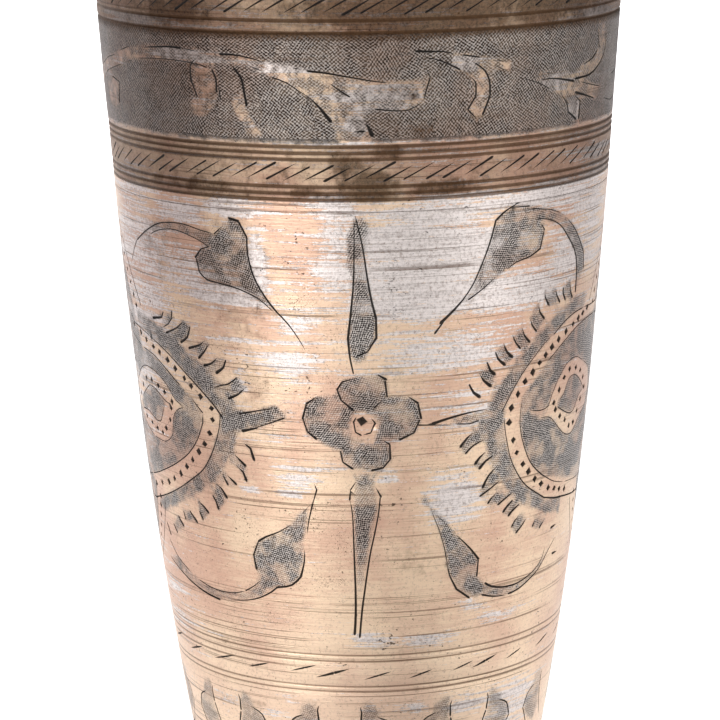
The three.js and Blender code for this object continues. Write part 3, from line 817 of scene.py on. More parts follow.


# ------------------------------------------------------------------------------------- tin, dark stains and painted shade
# Soft patches, (arc, height, half width, half height, weight) each.
TIN_PATCHES = [
    (12, 128, 14, 8, 1), (10, 119, 12, 5, 0.9), (30, 118, 14, 3.5, 0.9), (38, 136, 14, 2, 1),
    (44, 124, 6, 6, 0.8), (16, 107, 12, 3, 0.65), (20, 136, 14, 2, 0.9), (-5, 135, 4, 3, 0.9),
    (-5, 126, 4, 7, 0.55), (-25, 135.5, 6, 2, 1), (-37, 134, 7, 1.8, 0.9), (-28, 118, 9, 2, 0.8),
    (-36, 122, 9, 4, 0.6), (-20, 125, 1.8, 6, 0.9), (-14, 106, 4.5, 2, 0.8), (-14, 102.5, 4, 1.6, 0.6),
    (-13, 113, 4, 2, 0.6), (-25.5, 101, 1.8, 2, 0.9), (-14, 83.5, 5, 2.4, 0.95), (-16, 80, 2.8, 1.2, 1),
    (-25, 79.6, 2.4, 1, 1), (18, 79, 6, 4.5, 1), (17, 75, 5, 2.5, 0.8), (4, 83.5, 2.6, 1.2, 0.8),
    (0, 49.5, 5, 1.8, 0.8), (13, 49, 7, 1.6, 0.7), (23, 56, 4, 1, 0.8), (30, 52, 7, 1, 0.9),
    (9, 55, 4, 0.8, 0.7), (-30, 51.5, 2, 0.7, 0.9), (-24, 51, 4, 1.5, 0.4), (38, 32, 9, 5, 0.9),
    (24, 34, 6, 2, 0.9), (10, 35, 4, 1.6, 0.7), (0, 35, 3, 2, 0.5), (-24, 33, 4, 1.5, 0.6),
    (-38, 34, 5, 2, 0.5), (-20, 37, 3, 1, 0.5), (-54, 120, 12, 16, 0.6), (-60, 95, 10, 14, 0.5),
    (-56, 50, 12, 10, 0.4), (3, 156.5, 7, 2.5, 0.8), (-14, 162, 6, 1.4, 0.7), (-34, 164, 7, 1.2, 1),
    (17.5, 162.5, 2.6, 1.2, 1), (36, 157.6, 4, 1.4, 1), (42, 152, 2, 2.6, 0.9),
    (-1, 151.5, 1.4, 2.5, 0.9), (-48, 170, 12, 1, 1), (46, 169.6, 8, 0.8, 0.9), (52, 130, 8, 12, 0.6),
    (-8, 86, 4, 1, 0.6), (20, 95, 6, 4, 0.35),
]
# Dark stains. The last two patches are painted shade: they dull the lit brass left of the flower in each
# panel.
STAINS_AND_SHADE = [
    (1, 140, 5, 3.5, 1), (-3, 144, 3, 2.5, 0.8), (4, 146.5, 3, 1.6, 0.8), (14, 139.5, 6, 1.6, 0.8),
    (-10, 139, 5, 1, 0.7), (10, 172, 16, 4, 0.9), (-6, 173, 8, 3, 0.6), (36, 173, 14, 4, 0.8),
    (-34, 172.5, 8, 3, 0.7), (-34, 139.6, 14, 1.6, 0.5), (24, 142, 10, 3, 0.25), (-48, 140, 10, 4, 0.1),
    (-22, 142, 16, 4.5, 0.3), (8, 150.5, 4, 2, 0.5), (-28, 157.5, 3, 3, 0.4), (8, 157, 1.5, 1.5, 0.7),
    (11, 39, 3, 1.2, 0.6), (-37, 46.6, 4, 1, 0.5), (9, 105, 4, 3, 0.25), (-5, 109, 3, 2, 0.25),
    (-4, 45.7, 1.2, 0.6, 1), (-28, 34.3, 2.2, 1.3, 1), (-21.4, 35.4, 1.2, 0.7, 1), (22, 62, 5, 4, 0.4),
    (-44, 126, 10, 9, 0.65), (-30, 122, 6, 5, 0.5), (-8, 118, 4, 10, 0.45), (6, 104.5, 6, 3, 0.7),
    (10, 67, 6, 5, 0.7), (-36, 108, 8, 4, 0.5), (40, 120, 8, 8, 0.35), (-25, 122, 9, 16, 0.8),
    (-24, 98, 9, 12, 0.68),
]


def spread(points, patches):
    """The weight of the strongest soft patch at each point. Both halves of the barrel have every patch."""
    total = np.zeros(len(points))
    for arc, height, wide, tall, weight in patches:
        for shift in (-HALF_TURN, 0, HALF_TURN):
            away = (points - set_out((arc + shift, height))) / (wide, tall)
            total = np.maximum(total, weight * np.exp(-((away**2).sum(axis=1) ** 1.5) * 0.7))
    return total


# --------------------------------------------------------------------------------------------- barrel mesh
CLEAR = 0.4  # plain points of the sheet keep this far from a cut
GUARD_AHEAD = 0.22  # plain points lie this far beyond a blunt end
GUARD_WIDER = 1.2


def carve(points, cuts, pits, grow=0.0):
    """Depth of the ornament at each sheet point, and how far down its groove the point lies, 0 to 1."""
    depth = np.zeros(len(points))
    share = np.zeros(len(points))
    for stroke in cuts:
        line, half, deep = stroke["line"], stroke["half"] + grow, stroke["depth"]
        reach = half.max()
        inside = ((points > line.min(axis=0) - reach) & (points < line.max(axis=0) + reach)).all(axis=1)
        near = np.nonzero(inside)[0]
        for i in range(len(line) - 1 if len(near) else 0):
            side = line[i + 1] - line[i]
            away = points[near] - line[i]
            t = np.clip(away @ side / max(side @ side, 1e-9), 0, 1)
            distance = np.linalg.norm(away - t[:, None] * side, axis=1)
            width = half[i] + (half[i + 1] - half[i]) * t
            part = np.clip(1 - distance / width, 0, 1)
            here = deep[i] + (deep[i + 1] - deep[i]) * t
            depth[near] = np.maximum(depth[near], part * here)
            full = 1 if grow else np.clip(here / (1.6 * CUT_DEPTH * width), 0, 1)
            share[near] = np.maximum(share[near], part * full)
    for pit in pits:
        away = points - pit["centre"]
        corners = pit["corners"] - pit["centre"]
        near = np.nonzero((np.abs(away) < np.abs(corners).max() + grow).all(axis=1))[0]
        if not len(near):
            continue
        corners = corners * (1 + grow / np.linalg.norm(corners, axis=1)[:, None])
        part = np.full(len(near), -np.inf)
        for p, q in zip(corners, np.roll(corners, -1, axis=0)):
            normal = np.array([q[1] - p[1], p[0] - q[0]])
            part = np.maximum(part, away[near] @ normal / (p @ normal))
        part = np.clip(1 - part, 0, 1)
        depth[near] = np.maximum(depth[near], part * pit["depth"])
        share[near] = np.maximum(share[near], part)
    return depth, share


def ring_rows():
    """Heights of the point rows that shape the turned lines."""
    offsets = np.linspace(-1, 1, 5) * GROOVE_HALF_WIDTH
    rows = [h + o for h in GROOVE_HEIGHTS for o in offsets]
    scribed = [SCRIBED_HEIGHT - SCRIBED_HALF_WIDTH, SCRIBED_HEIGHT, SCRIBED_HEIGHT + SCRIBED_HALF_WIDTH]
    return sorted(rows + scribed)


def turned_depth(heights):
    """Depth of the turned lines at each height."""
    depth = np.zeros(len(heights))
    for h in GROOVE_HEIGHTS:
        off = np.clip(np.abs(heights - h) / GROOVE_HALF_WIDTH, 0, 1)
        share = 1 if h > LIGHT_GROOVES_BELOW else LIGHT_GROOVE_SHARE
        depth = np.maximum(depth, share * GROOVE_DEPTH * (1 + np.cos(math.pi * off)) / 2)
    off = np.clip(np.abs(heights - SCRIBED_HEIGHT) / SCRIBED_HALF_WIDTH, 0, 1)
    return np.maximum(depth, SCRIBED_DEPTH * (1 - off))


def sheet_mesh(cuts, pits):
    """Triangles over the sheet, with an edge along every cut, punch and turned line."""
    rings = np.array(ring_rows())
    plain = np.arange(BARREL_BOTTOM + ROW_HEIGHT, BARREL_TOP - 0.5 * ROW_HEIGHT, ROW_HEIGHT)
    plain = [h for h in plain if np.abs(rings - h).min() > 0.5 * ROW_HEIGHT]
    margin = int(SEAM_MARGIN / COLUMN_WIDTH) + 1
    columns = np.arange(-COLUMNS // 2 - margin, COLUMNS // 2 + margin + 1)
    points = []
    edges = []
    seam = {-1: [], 1: []}
    for height in sorted([BARREL_BOTTOM, BARREL_TOP, *plain, *rings]):
        arcs = columns * COLUMN_WIDTH
        row = np.column_stack([arcs, np.full(len(arcs), height)])
        fixed = height in (BARREL_BOTTOM, BARREL_TOP) or np.abs(rings - height).min() < 1e-6
        keep = np.ones(len(row), bool)
        if not fixed:
            keep = carve(row, cuts, pits, CLEAR)[1] == 0
            keep |= np.abs(np.abs(columns) - COLUMNS // 2) == 0
        first = len(points)
        points.extend(map(tuple, row[keep]))
        if fixed:
            edges.extend((i, i + 1) for i in range(first, len(points) - 1))
        for side in (-1, 1):
            place = np.nonzero(columns[keep] == side * COLUMNS // 2)[0][0]
            seam[side].append(first + int(place))
    for line in seam.values():
        edges.extend(zip(line, line[1:]))
    for stroke in cuts:
        add_cut(points, edges, stroke)
    for pit in pits:
        first = len(points)
        points.append(tuple(pit["centre"]))
        points.extend(map(tuple, pit["corners"]))
        ring = [first + 1, first + 2, first + 3, first + 4]
        edges.extend(zip(ring, ring[1:] + ring[:1]))
        edges.extend((first, corner) for corner in ring)
    result = delaunay_2d_cdt([Vector(p) for p in points], edges, [], 0, 1e-3)
    flat = np.array([tuple(p) for p in result[0]])
    faces = np.array(result[2])
    middle = flat[faces].mean(axis=1)
    return flat, faces[np.abs(middle[:, 0]) < HALF_TURN]


def add_cut(points, edges, stroke):
    """Adds one cut's centre line and both its edges to the sheet's points and edges."""
    line, half = stroke["line"], stroke["half"]
    way = np.gradient(line, axis=0)
    way /= np.linalg.norm(way, axis=1)[:, None] + 1e-9
    aside = np.column_stack([-way[:, 1], way[:, 0]]) * half[:, None]
    chains = []
    for offset in (-1, 0, 1):
        chain = []
        for i, place in enumerate(line + offset * aside):
            if offset and half[i] <= TIP_HALF_WIDTH:
                chain.append(None)
                continue
            chain.append(len(points))
            points.append(tuple(place))
        chains.append(chain)
    spine = chains[1]
    for chain in chains:
        joined = [spine[i] if index is None else index for i, index in enumerate(chain)]
        edges.extend((a, b) for a, b in zip(joined, joined[1:]) if a != b)
    for side in (chains[0], chains[2]):
        for end in (0, -1):
            if side[end] is not None:
                edges.append((spine[end], side[end]))
    # Plain points round a blunt end keep its shading from spreading over the sheet.
    for end, beyond in ((0, -1), (-1, 1)):
        if half[end] > TIP_HALF_WIDTH:
            ahead = way[end] * beyond * GUARD_AHEAD
            for offset in (-1, 0, 1):
                points.append(tuple(line[end] + ahead + offset * aside[end] * GUARD_WIDER))


def uneven(places, size, height, seed):
    """Soft noise of the given size (metres) and height at each place."""
    shift = Vector((seed * 3.1, seed * 1.7, seed * 0.9))
    return np.array([noise.noise(Vector(p) / size + shift) for p in places]) * height


def make_mesh(name, vertices, faces):
    """A new object from vertices in metres."""
    mesh = bpy.data.meshes.new(name)
    mesh.from_pydata([tuple(v) for v in vertices], [], [tuple(int(i) for i in f) for f in faces])
    mesh.update()
    piece = bpy.data.objects.new(name, mesh)
    bpy.context.collection.objects.link(piece)
    return piece


def shade(piece, degrees):
    """Smooth shading, with sharp edges where the surface turns by more than degrees."""
    piece.data.shade_smooth()
    piece.data.set_sharp_from_angle(angle=math.radians(degrees))


def paint(piece, name, values):
    """Stores one number for each vertex, for the material to read."""
    layer = piece.data.attributes.new(name, "FLOAT", "POINT")
    layer.data.foreach_set("value", np.asarray(values, np.float32))


def seam_partners(flat):
    """For each sheet point the one that stands for it once the sheet's two ends are joined."""
    left, right = (np.nonzero(np.abs(flat[:, 0] - side * HALF_TURN) < 2e-3)[0] for side in (-1, 1))
    same = np.arange(len(flat))
    for i in right:
        same[i] = left[np.argmin(np.abs(flat[left, 1] - flat[i, 1]))]
    taken = np.unique(same[right])
    for i in np.setdiff1d(left, taken):
        same[i] = taken[np.argmin(np.abs(flat[taken, 1] - flat[i, 1]))]
    return same


WALL_ROWS = 12
BEATEN_ABOVE = 2  # from the barrel's lower end
BEATEN_BELOW = 10  # from its upper end
BEATEN_FADE = 6
SHARP_ANGLE = 22  # between faces, in degrees


def inner_wall(arc, height):
    """Points and quads of the inside wall. It joins the upper and lower rows of the outside's points."""
    top, bottom = (np.nonzero(np.abs(height - level) < 1e-4)[0] for level in (BARREL_TOP, BARREL_BOTTOM))
    top, bottom = top[np.argsort(arc[top])], bottom[np.argsort(arc[bottom])]
    angle = arc[top] / SHEET_RADIUS
    wall = []
    rows = [top]
    for level in np.linspace(BARREL_TOP, BARREL_BOTTOM, WALL_ROWS):
        rows.append(len(arc) + len(wall) * COLUMNS + np.arange(COLUMNS))
        inner = barrel_radius(level) - WALL
        wall.append(np.column_stack([np.sin(angle) * inner, -np.cos(angle) * inner, np.full(COLUMNS, level)]))
    rows.append(bottom)
    quads = []
    for upper, lower in zip(rows, rows[1:]):
        quads.extend(zip(upper, np.roll(upper, -1), np.roll(lower, -1), lower))
    return np.vstack(wall) * MM, quads


def make_barrel():
    cuts, pits = ornament()
    flat, faces = sheet_mesh(cuts, pits)
    depth, share = carve(flat, cuts, pits)
    ring = turned_depth(flat[:, 1])
    arc, height = flat[:, 0], flat[:, 1]
    angle = arc / SHEET_RADIUS
    around = np.column_stack([np.sin(angle), -np.cos(angle)])
    plain = np.column_stack([around * barrel_radius(height)[:, None], height]) * MM
    inset = np.minimum(height - BARREL_BOTTOM - BEATEN_ABOVE, BARREL_TOP - BEATEN_BELOW - height)
    beaten = uneven(plain, 0.022, 0.16, 1) + uneven(plain, 0.007, 0.035, 2)
    radius = barrel_radius(height) + beaten * np.clip(inset / BEATEN_FADE, 0, 1) - np.maximum(depth, ring)
    outside = np.column_stack([around * radius[:, None], height]) * MM

    # The sheet's two ends are welded, and the triangles that this flattens are left out.
    welded = seam_partners(flat)[faces]
    whole = np.array([len(set(face)) == 3 for face in welded.tolist()])
    welded, faces = welded[whole], faces[whole]
    used, index = np.unique(welded, return_inverse=True)
    welded = index.reshape(welded.shape)
    wall, quads = inner_wall(arc[used], height[used])
    piece = make_mesh("engraved_barrel", np.vstack([outside[used], wall]), list(welded) + quads)

    sheet = piece.data.uv_layers.new(name="Sheet")
    uv = np.zeros((len(piece.data.loops), 2))
    corners = flat[faces].reshape(-1, 2)
    uv[: len(corners)] = corners
    sheet.data.foreach_set("uv", uv.ravel())
    layers = {
        "cut": (share, 0),
        "turned": (ring / GROOVE_DEPTH, 0),
        "hatch": (hatch_field(flat), -HATCH_REACH),
        "tin": (spread(flat, TIN_PATCHES), 0),
        # This layer holds the dark stains and two patches of painted shade.
        "darkening": (spread(flat, STAINS_AND_SHADE), 0),
    }
    for name, (values, inside) in layers.items():
        paint(piece, name, np.concatenate([values[used], np.full(len(wall), inside)]))
    shade(piece, SHARP_ANGLE)
    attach(piece, "root")
    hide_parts("barrel")
    return piece


# ------------------------------------------------------------------------------------- other turned pieces
FIT = 0.1
LINING = 0.3
FLOOR_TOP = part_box("floor_disc")[1][2] / MM
RIM_LOW, RIM_HIGH = (corner[2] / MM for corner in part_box("rim_ring"))
FOOT_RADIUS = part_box("foot_ring")[1][0] / MM
SEAT_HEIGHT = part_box("foot_ring")[1][2] / MM
RIM_BEAD = 2.69
RIM_BAND = 1.3
SMALL_BEAD = 0.9
COLLAR_RADIUS = 36.98
WAIST_RADIUS = 30.7
WAIST_HEIGHT = 9.4
FOOT_EDGE = 2.6
FOOT_BORE = 27.1
FOOT_HOLLOW_RADIUS = 32.6
FOOT_HOLLOW_DEPTH = 5
FILLET = 1.3
SEGMENTS = 160


def arc(centre_radius, centre_height, radius, start, end, steps):
    """Points of a circular arc in the section. Angles in degrees, 0 away from the axis and 90 up."""
    angles = np.radians(np.linspace(start, end, steps + 1))
    return [(centre_radius + radius * math.cos(a), centre_height + radius * math.sin(a)) for a in angles]


def nick(radius, height, depth, half=0.3):
    """A small turned line in an upright stretch of a section."""
    return [(radius, height - half), (radius - depth, height), (radius, height + half)]


def lathe(name, node, section, seed, coarse, fine=0.02, sharp=28):
    """A solid of revolution from its section, (radius, height) anticlockwise, slightly uneven."""
    section = np.array(section, float)
    open_ends = section[0][0] == 0 and section[-1][0] == 0
    rings = []
    vertices = []
    angles = np.arange(SEGMENTS) * 2 * math.pi / SEGMENTS
    for radius, height in section:
        if radius == 0:
            rings.append([len(vertices)])
            vertices.append((0, 0, height * MM))
            continue
        rings.append(list(range(len(vertices), len(vertices) + SEGMENTS)))
        vertices.extend((radius * math.cos(a) * MM, radius * math.sin(a) * MM, height * MM) for a in angles)
    places = np.array(vertices)
    lift = uneven(places, 0.02, coarse, seed) + uneven(places, 0.006, fine, seed + 1)
    lift -= coarse * 0.5 + fine * 0.5
    reach = np.linalg.norm(places[:, :2], axis=1)
    moving = (reach > 0) & (places[:, 2] > 0.2 * MM)
    inward = 1 + np.where(moving, lift * MM / np.maximum(reach, 1e-6), 0)
    places[:, :2] *= inward[:, None]
    faces = []
    pairs = list(zip(rings, rings[1:]))
    if not open_ends:
        pairs.append((rings[-1], rings[0]))
    for low, high in pairs:
        for i in range(SEGMENTS):
            j = (i + 1) % SEGMENTS
            if len(low) == 1:
                faces.append((low[0], high[j], high[i]))
            elif len(high) == 1:
                faces.append((low[i], low[j], high[0]))
            else:
                faces.append((low[i], low[j], high[j], high[i]))
    piece = make_mesh(name, places, faces)
    shade(piece, sharp)
    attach(piece, "root")
    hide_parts(node)
    return piece


def make_rim():
    def seat(height):
        return barrel_radius(height) + FIT

    bead_height = RIM_HIGH - RIM_BEAD
    lip_inside = barrel_radius(BARREL_TOP) - WALL - FIT - LINING
    lip = BARREL_TOP + FIT
    small = RIM_LOW + SMALL_BEAD
    section = [
        (seat(RIM_LOW), RIM_LOW),
        *arc(seat(small) + RIM_BAND - 0.2, small, SMALL_BEAD, -90, 80, 9),
        (seat(small + 1.2) + RIM_BAND - 0.25, small + 1.1),
        *nick(seat(small + 2) + RIM_BAND - 0.2, small + 2, 0.25, 0.35),
        *arc(seat(bead_height) + RIM_BAND - 0.3, bead_height, RIM_BEAD, -68, 90, 20),
        *arc(lip_inside + 0.9, RIM_HIGH - 0.9, 0.85, 90, 180, 6),
        (lip_inside + 0.08, lip + 0.2),
        (lip_inside + 0.12, lip + 0.05),
        (seat(lip), lip + 0.05),
    ]
    return lathe("rim_kangni", "rim_ring", section, 11, coarse=0.07)


def make_foot():
    rise = WAIST_HEIGHT - FOOT_EDGE
    reach = FOOT_RADIUS - 0.05 - WAIST_RADIUS
    turns = np.radians(np.linspace(8, 84, 12))
    flare = [(FOOT_RADIUS - 0.05 - reach * math.sin(a), WAIST_HEIGHT - rise * math.cos(a)) for a in turns]
    section = [
        (FOOT_HOLLOW_RADIUS, 0),
        (FOOT_RADIUS - 0.6, 0),
        *arc(FOOT_RADIUS - 0.65, 0.6, 0.6, -80, 0, 5),
        *nick(FOOT_RADIUS - 0.05, 1.5, 0.22, 0.3),
        (FOOT_RADIUS - 0.05, FOOT_EDGE - 0.15),
        (FOOT_RADIUS - 0.3, FOOT_EDGE),
        *flare[:4],
        (flare[4][0] - 0.25, flare[4][1] - 0.05),
        *flare[5:],
        (WAIST_RADIUS, WAIST_HEIGHT),
        *arc(WAIST_RADIUS + 1.1, WAIST_HEIGHT + 0.9, 1.1, 160, 110, 3),
        (WAIST_RADIUS + 1.2, WAIST_HEIGHT + 2.4),
        *arc(WAIST_RADIUS + 3.7, WAIST_HEIGHT + 1.7, 2.5, 150, 100, 5),
        *arc(COLLAR_RADIUS - 0.9, SEAT_HEIGHT - 0.9, 0.9, -75, 90, 9),
        (FOOT_BORE, SEAT_HEIGHT),
        (FOOT_BORE, FOOT_HOLLOW_DEPTH + 0.6),
        *arc(FOOT_BORE + 0.6, FOOT_HOLLOW_DEPTH + 0.6, 0.6, 190, 260, 3),
        ((FOOT_BORE + FOOT_HOLLOW_RADIUS) / 2, FOOT_HOLLOW_DEPTH * 0.55),
    ]
    return lathe("turned_foot", "foot_ring", section, 17, coarse=0.05)


def make_floor():
    radius = barrel_radius(BARREL_BOTTOM) - WALL - FIT - 0.05
    steps = np.linspace(0.06, 1, 16)
    under = [(radius * s, BARREL_BOTTOM + 0.1 * (1 + math.sin(s * 40))) for s in steps]
    section = [(0, BARREL_BOTTOM), *under, (radius, FLOOR_TOP), (0, FLOOR_TOP)]
    return lathe("floor_plate", "floor_disc", section, 23, coarse=0.04)


def make_lining():
    bottom = FLOOR_TOP + FIT
    clear = WALL + FIT
    rows = np.linspace(bottom, BARREL_TOP, 24)
    outside = [(barrel_radius(h) - clear, h) for h in rows]
    round_in = barrel_radius(bottom) - clear - LINING
    inside = [(barrel_radius(h) - clear - LINING, h) for h in rows[:0:-1]]
    shares = np.linspace(0.93, 0.08, 14)
    floor = [(round_in * s, bottom + LINING + 0.12 * (1 + math.sin(s * 33))) for s in shares]
    corner = arc(round_in - 1.2, bottom + LINING + 1.5, 1.2, -5, -80, 5)
    section = [(0, bottom), *outside, *inside, *corner, *floor, (0, bottom + LINING)]
    return lathe("tinned_inside", "tin_lining", section, 29, coarse=0.1, fine=0.03)


def make_fillet(name, node, corners, seed):
    """A lumpy ring of filler metal between three corners of a section."""
    return lathe(name, node, corners, seed, coarse=0.12, fine=0.16, sharp=50)


def make_fillets():
    top = RIM_LOW - FIT
    rim = [
        (barrel_radius(top - FILLET) + FIT + 0.3, top - FILLET),
        (barrel_radius(top - 0.6) + FIT + 0.95, top - 0.75),
        (barrel_radius(top) + FIT + FILLET, top),
        (barrel_radius(top) + FIT + 0.2, top),
    ]
    bottom = SEAT_HEIGHT + FIT
    foot = [
        (barrel_radius(BARREL_BOTTOM) + FIT + 0.2, bottom),
        (COLLAR_RADIUS - 0.88, bottom),
        (COLLAR_RADIUS - 1.05, bottom + 0.6),
        (barrel_radius(bottom + FILLET) + 0.45, bottom + FILLET),
        (barrel_radius(bottom + FILLET) + 0.25, bottom + FILLET),
    ]
    under = BARREL_BOTTOM - FIT
    outer = FOOT_BORE - FIT
    floor = [(outer - FILLET, under), (outer - 0.7, under - 0.95), (outer, under - FILLET), (outer, under)]
    make_fillet("rim_filler", "rim_braze", rim, 31)
    make_fillet("foot_filler", "foot_braze", foot, 37)
    make_fillet("floor_filler", "floor_braze", floor, 41)


# ----------------------------------------------------------------------------------------------- materials
def linear(red, green, blue):
    """A colour given as 0 to 255 display values, for a shader socket."""
    values = [c / 255 for c in (red, green, blue)]
    return (*(c / 12.92 if c < 0.04045 else ((c + 0.055) / 1.055) ** 2.4 for c in values), 1)


BRASS_LIGHT = linear(232, 205, 176)
# Painted highlight: the paler brass towards the foot, where the lower barrel reflects the bright floor.
FOOT_SHEEN_BRASS = linear(246, 222, 196)
BRASS_DEEP = linear(206, 168, 146)
TIN_BRIGHT = linear(226, 216, 211)
TIN_DULL = linear(184, 174, 169)
TIN_INSIDE = linear(236, 232, 228)
TIN_STAIN = linear(128, 118, 106)
HATCH_DARK = linear(40, 36, 34)
HATCH_LIGHT = linear(186, 178, 172)
GRIT = linear(150, 128, 114)
# The grey of the painted shade on the barrel's flanks.
FLANK_SHADE = linear(170, 160, 160)
GROOVE = linear(26, 20, 16)
PATINA = linear(92, 66, 44)
CAST_BRASS = linear(208, 172, 134)
CAST_DEEP = linear(160, 118, 78)
SHEET_BRASS = linear(190, 150, 108)
SHEET_DEEP = linear(140, 104, 72)
BRAZE_YELLOW = linear(206, 178, 116)
BRAZE_DEEP = linear(150, 120, 76)


class Signal:
    """A value that differs from place to place in a material. Their sums and products are signals too."""

    def __init__(self, shader, socket):
        self.shader = shader
        self.socket = socket

    def __add__(self, other):
        return self.shader.math("ADD", self, other)

    def __sub__(self, other):
        return self.shader.math("SUBTRACT", self, other)

    def __mul__(self, other):
        return self.shader.math("MULTIPLY", self, other)


class Shader:
    """A node material, with one short call for each kind of node that the materials here need."""

    def __init__(self, name):
        self.material = bpy.data.materials.new(name)
        self.material.use_nodes = True
        self.tree = self.material.node_tree
        self.tree.nodes.clear()
        self.surface = self.tree.nodes.new("ShaderNodeBsdfPrincipled")
        output = self.tree.nodes.new("ShaderNodeOutputMaterial")
        self.tree.links.new(self.surface.outputs[0], output.inputs[0])
        metres = self.node("ShaderNodeTexCoord", {}, "Object")
        self.place = self.vector("MULTIPLY", metres, (1 / MM, 1 / MM, 1 / MM))
        self.height = self.part(self.place, 2)

    def put(self, socket, value):
        if isinstance(value, Signal):
            self.tree.links.new(value.socket, socket)
        else:
            socket.default_value = value

    def node(self, kind, inputs, output=0, **settings):
        """Adds a node with these inputs and settings, and gives one of its outputs."""
        node = self.tree.nodes.new(kind)
        for name, value in settings.items():
            setattr(node, name, value)
        for name, value in inputs.items():
            self.put(node.inputs[name], value)
        return Signal(self, node.outputs[output])

    def math(self, operation, *values, clamp=False):
        inputs = dict(enumerate(values))
        return self.node("ShaderNodeMath", inputs, operation=operation, use_clamp=clamp)

    def larger(self, a, b):
        return self.math("MAXIMUM", a, b)

    def vector(self, operation, *values):
        inputs = dict(enumerate(values))
        return self.node("ShaderNodeVectorMath", inputs, operation=operation)

    def part(self, vector, axis):
        return self.node("ShaderNodeSeparateXYZ", {0: vector}, axis)

    def noise(self, scale, detail=3, rough=0.5, warp=0, where=None):
        """Noise with scale features for each millimetre."""
        inputs = {"Vector": where or self.place, "Scale": scale}
        inputs.update({"Detail": detail, "Roughness": rough, "Distortion": warp})
        return self.node("ShaderNodeTexNoise", inputs)

    def streaks(self, around, up, detail=3, rough=0.5, warp=0):
        """Noise with a scale of its own round the tumbler and another one along its height."""
        stretched = self.vector("MULTIPLY", self.place, (around, around, up))
        return self.noise(1, detail, rough, warp, stretched)

    def cells(self, scale, output, where=None):
        inputs = {"Vector": where or self.place, "Scale": scale}
        return self.node("ShaderNodeTexVoronoi", inputs, output)

    def step(self, value, low, high, start=0, end=1):
        """Smooth step: start where value is below low, end where it is above high."""
        inputs = dict(enumerate((value, low, high, start, end)))
        return self.node("ShaderNodeMapRange", inputs, interpolation_type="SMOOTHSTEP")

    def mix(self, share, a, b, blend="MIX"):
        inputs = {0: share, 6: a, 7: b}
        return self.node("ShaderNodeMix", inputs, 2, data_type="RGBA", blend_type=blend)

    def stored(self, name):
        return self.node("ShaderNodeAttribute", {}, "Fac", attribute_name=name)

    def finish(self, colour, roughness, relief, metallic=1):
        """relief is a height in millimetres."""
        normal = self.node("ShaderNodeBump", {"Strength": 1, "Distance": MM, "Height": relief})
        sockets = {"Base Color": colour, "Roughness": roughness, "Normal": normal, "Metallic": metallic}
        for name, value in sockets.items():
            self.put(self.surface.inputs[name], value)
        return self.material


VINE_BOTTOM = 148
VINE_TOP = 168
EDGE = 1  # over this height a band fades in or out, in millimetres
HATCH_PITCH = 0.41
HATCH_SWING = 26  # degrees between the most different patches
HATCH_ANGLES = [(66, 46), (-10, -44)]  # degrees, of both sets of lines, in the panel and behind the vine


def hatch_lines(s):
    """Two sets of graver lines that change direction from patch to patch. 0 in a line, 1 between lines."""
    sheet = s.node("ShaderNodeUVMap", {}, uv_map="Sheet")
    x = s.noise(0.35, 2) * 0.9 + s.part(sheet, 0)
    y = s.part(sheet, 1)
    warped = s.vector("ADD", s.place, s.noise(0.5, 1) * 2)
    chances = s.cells(0.16, "Color", warped)
    band = s.step(y, VINE_BOTTOM - EDGE, VINE_BOTTOM + EDGE)
    finer = band * -0.16 + 1
    lines = []
    for axis, (panel, vine) in enumerate(HATCH_ANGLES):
        middle = band * math.radians(vine - panel) + math.radians(panel - HATCH_SWING / 2)
        angle = s.part(chances, axis) * math.radians(HATCH_SWING) + middle
        across = x * s.math("SINE", angle) - y * s.math("COSINE", angle)
        phase = across * (2 * math.pi / HATCH_PITCH) * finer
        lines.append(s.math("SINE", phase) * 0.5 + 0.5)
    weight = s.noise(0.6, 3, 0.6)
    first = lines[0] * s.step(weight, 0.35, 0.6, 0.6, 0.4)
    second = lines[1] * s.step(weight, 0.35, 0.6, 0.4, 0.6)
    grain = s.step(s.noise(2.6, 2, 0.7), 0.35, 0.65, -0.2, 0.2)
    return first + second + grain


def hatch_cover(s, band):
    """How strong the hatching is: thin in patches, ragged at its edges, and rubbed into the vine band."""
    ragged = s.noise(0.9, 4, 0.7) * 1.6 - 0.8
    hatch = s.step(s.stored("hatch") + ragged, -0.65, 0.6)
    thin = s.step(s.noise(0.24), 0.36, 0.56, 0.48, 1)
    hatch = hatch * s.larger(thin, band * 0.92) * s.step(s.height, 36, 40, 0.7, 1)
    rubbed = s.step(s.noise(0.5, 4, 0.65), 0.4, 0.62, 0.8, 0.12)
    return s.larger(hatch, band * rubbed)


def tin_cover(s, ribbons):
    """Where tin is left: in streaks round the barrel, and more of it above the middle."""
    worn_off = s.step(s.height, 84, 104, -1.78, -1.66)
    stripes = s.streaks(0.03, 1.3, 4, 0.65)
    crumbs = s.streaks(1.1, 2.2, 3, 0.7)
    amount = s.stored("tin") * 0.52 + worn_off + stripes * 1.5 + ribbons * 0.85 + crumbs * 0.7
    return s.step(amount, 0, 0.1)


def scratches(s):
    """Long scratches round the barrel, and finer ones between them, in some places only."""
    marks = s.step(s.streaks(0.006, 1.5, 2), 0.63, 0.67)
    hair = s.step(s.streaks(0.012, 2.6, 2), 0.62, 0.68, 0, 0.8)
    return s.larger(marks, hair) * s.step(s.streaks(0.05, 0.2), 0.4, 0.58)


def specks(s):
    """Small chipped pits and dust."""
    chips = s.noise(0.12) * 0.35 + s.streaks(1.2, 1.6, 3, 0.6)
    dust = s.noise(0.2) * 0.3 + s.streaks(3.2, 4.2, 2, 0.6)
    return s.larger(s.step(chips, 0.88, 0.91), s.step(dust, 0.84, 0.88, 0, 0.8))


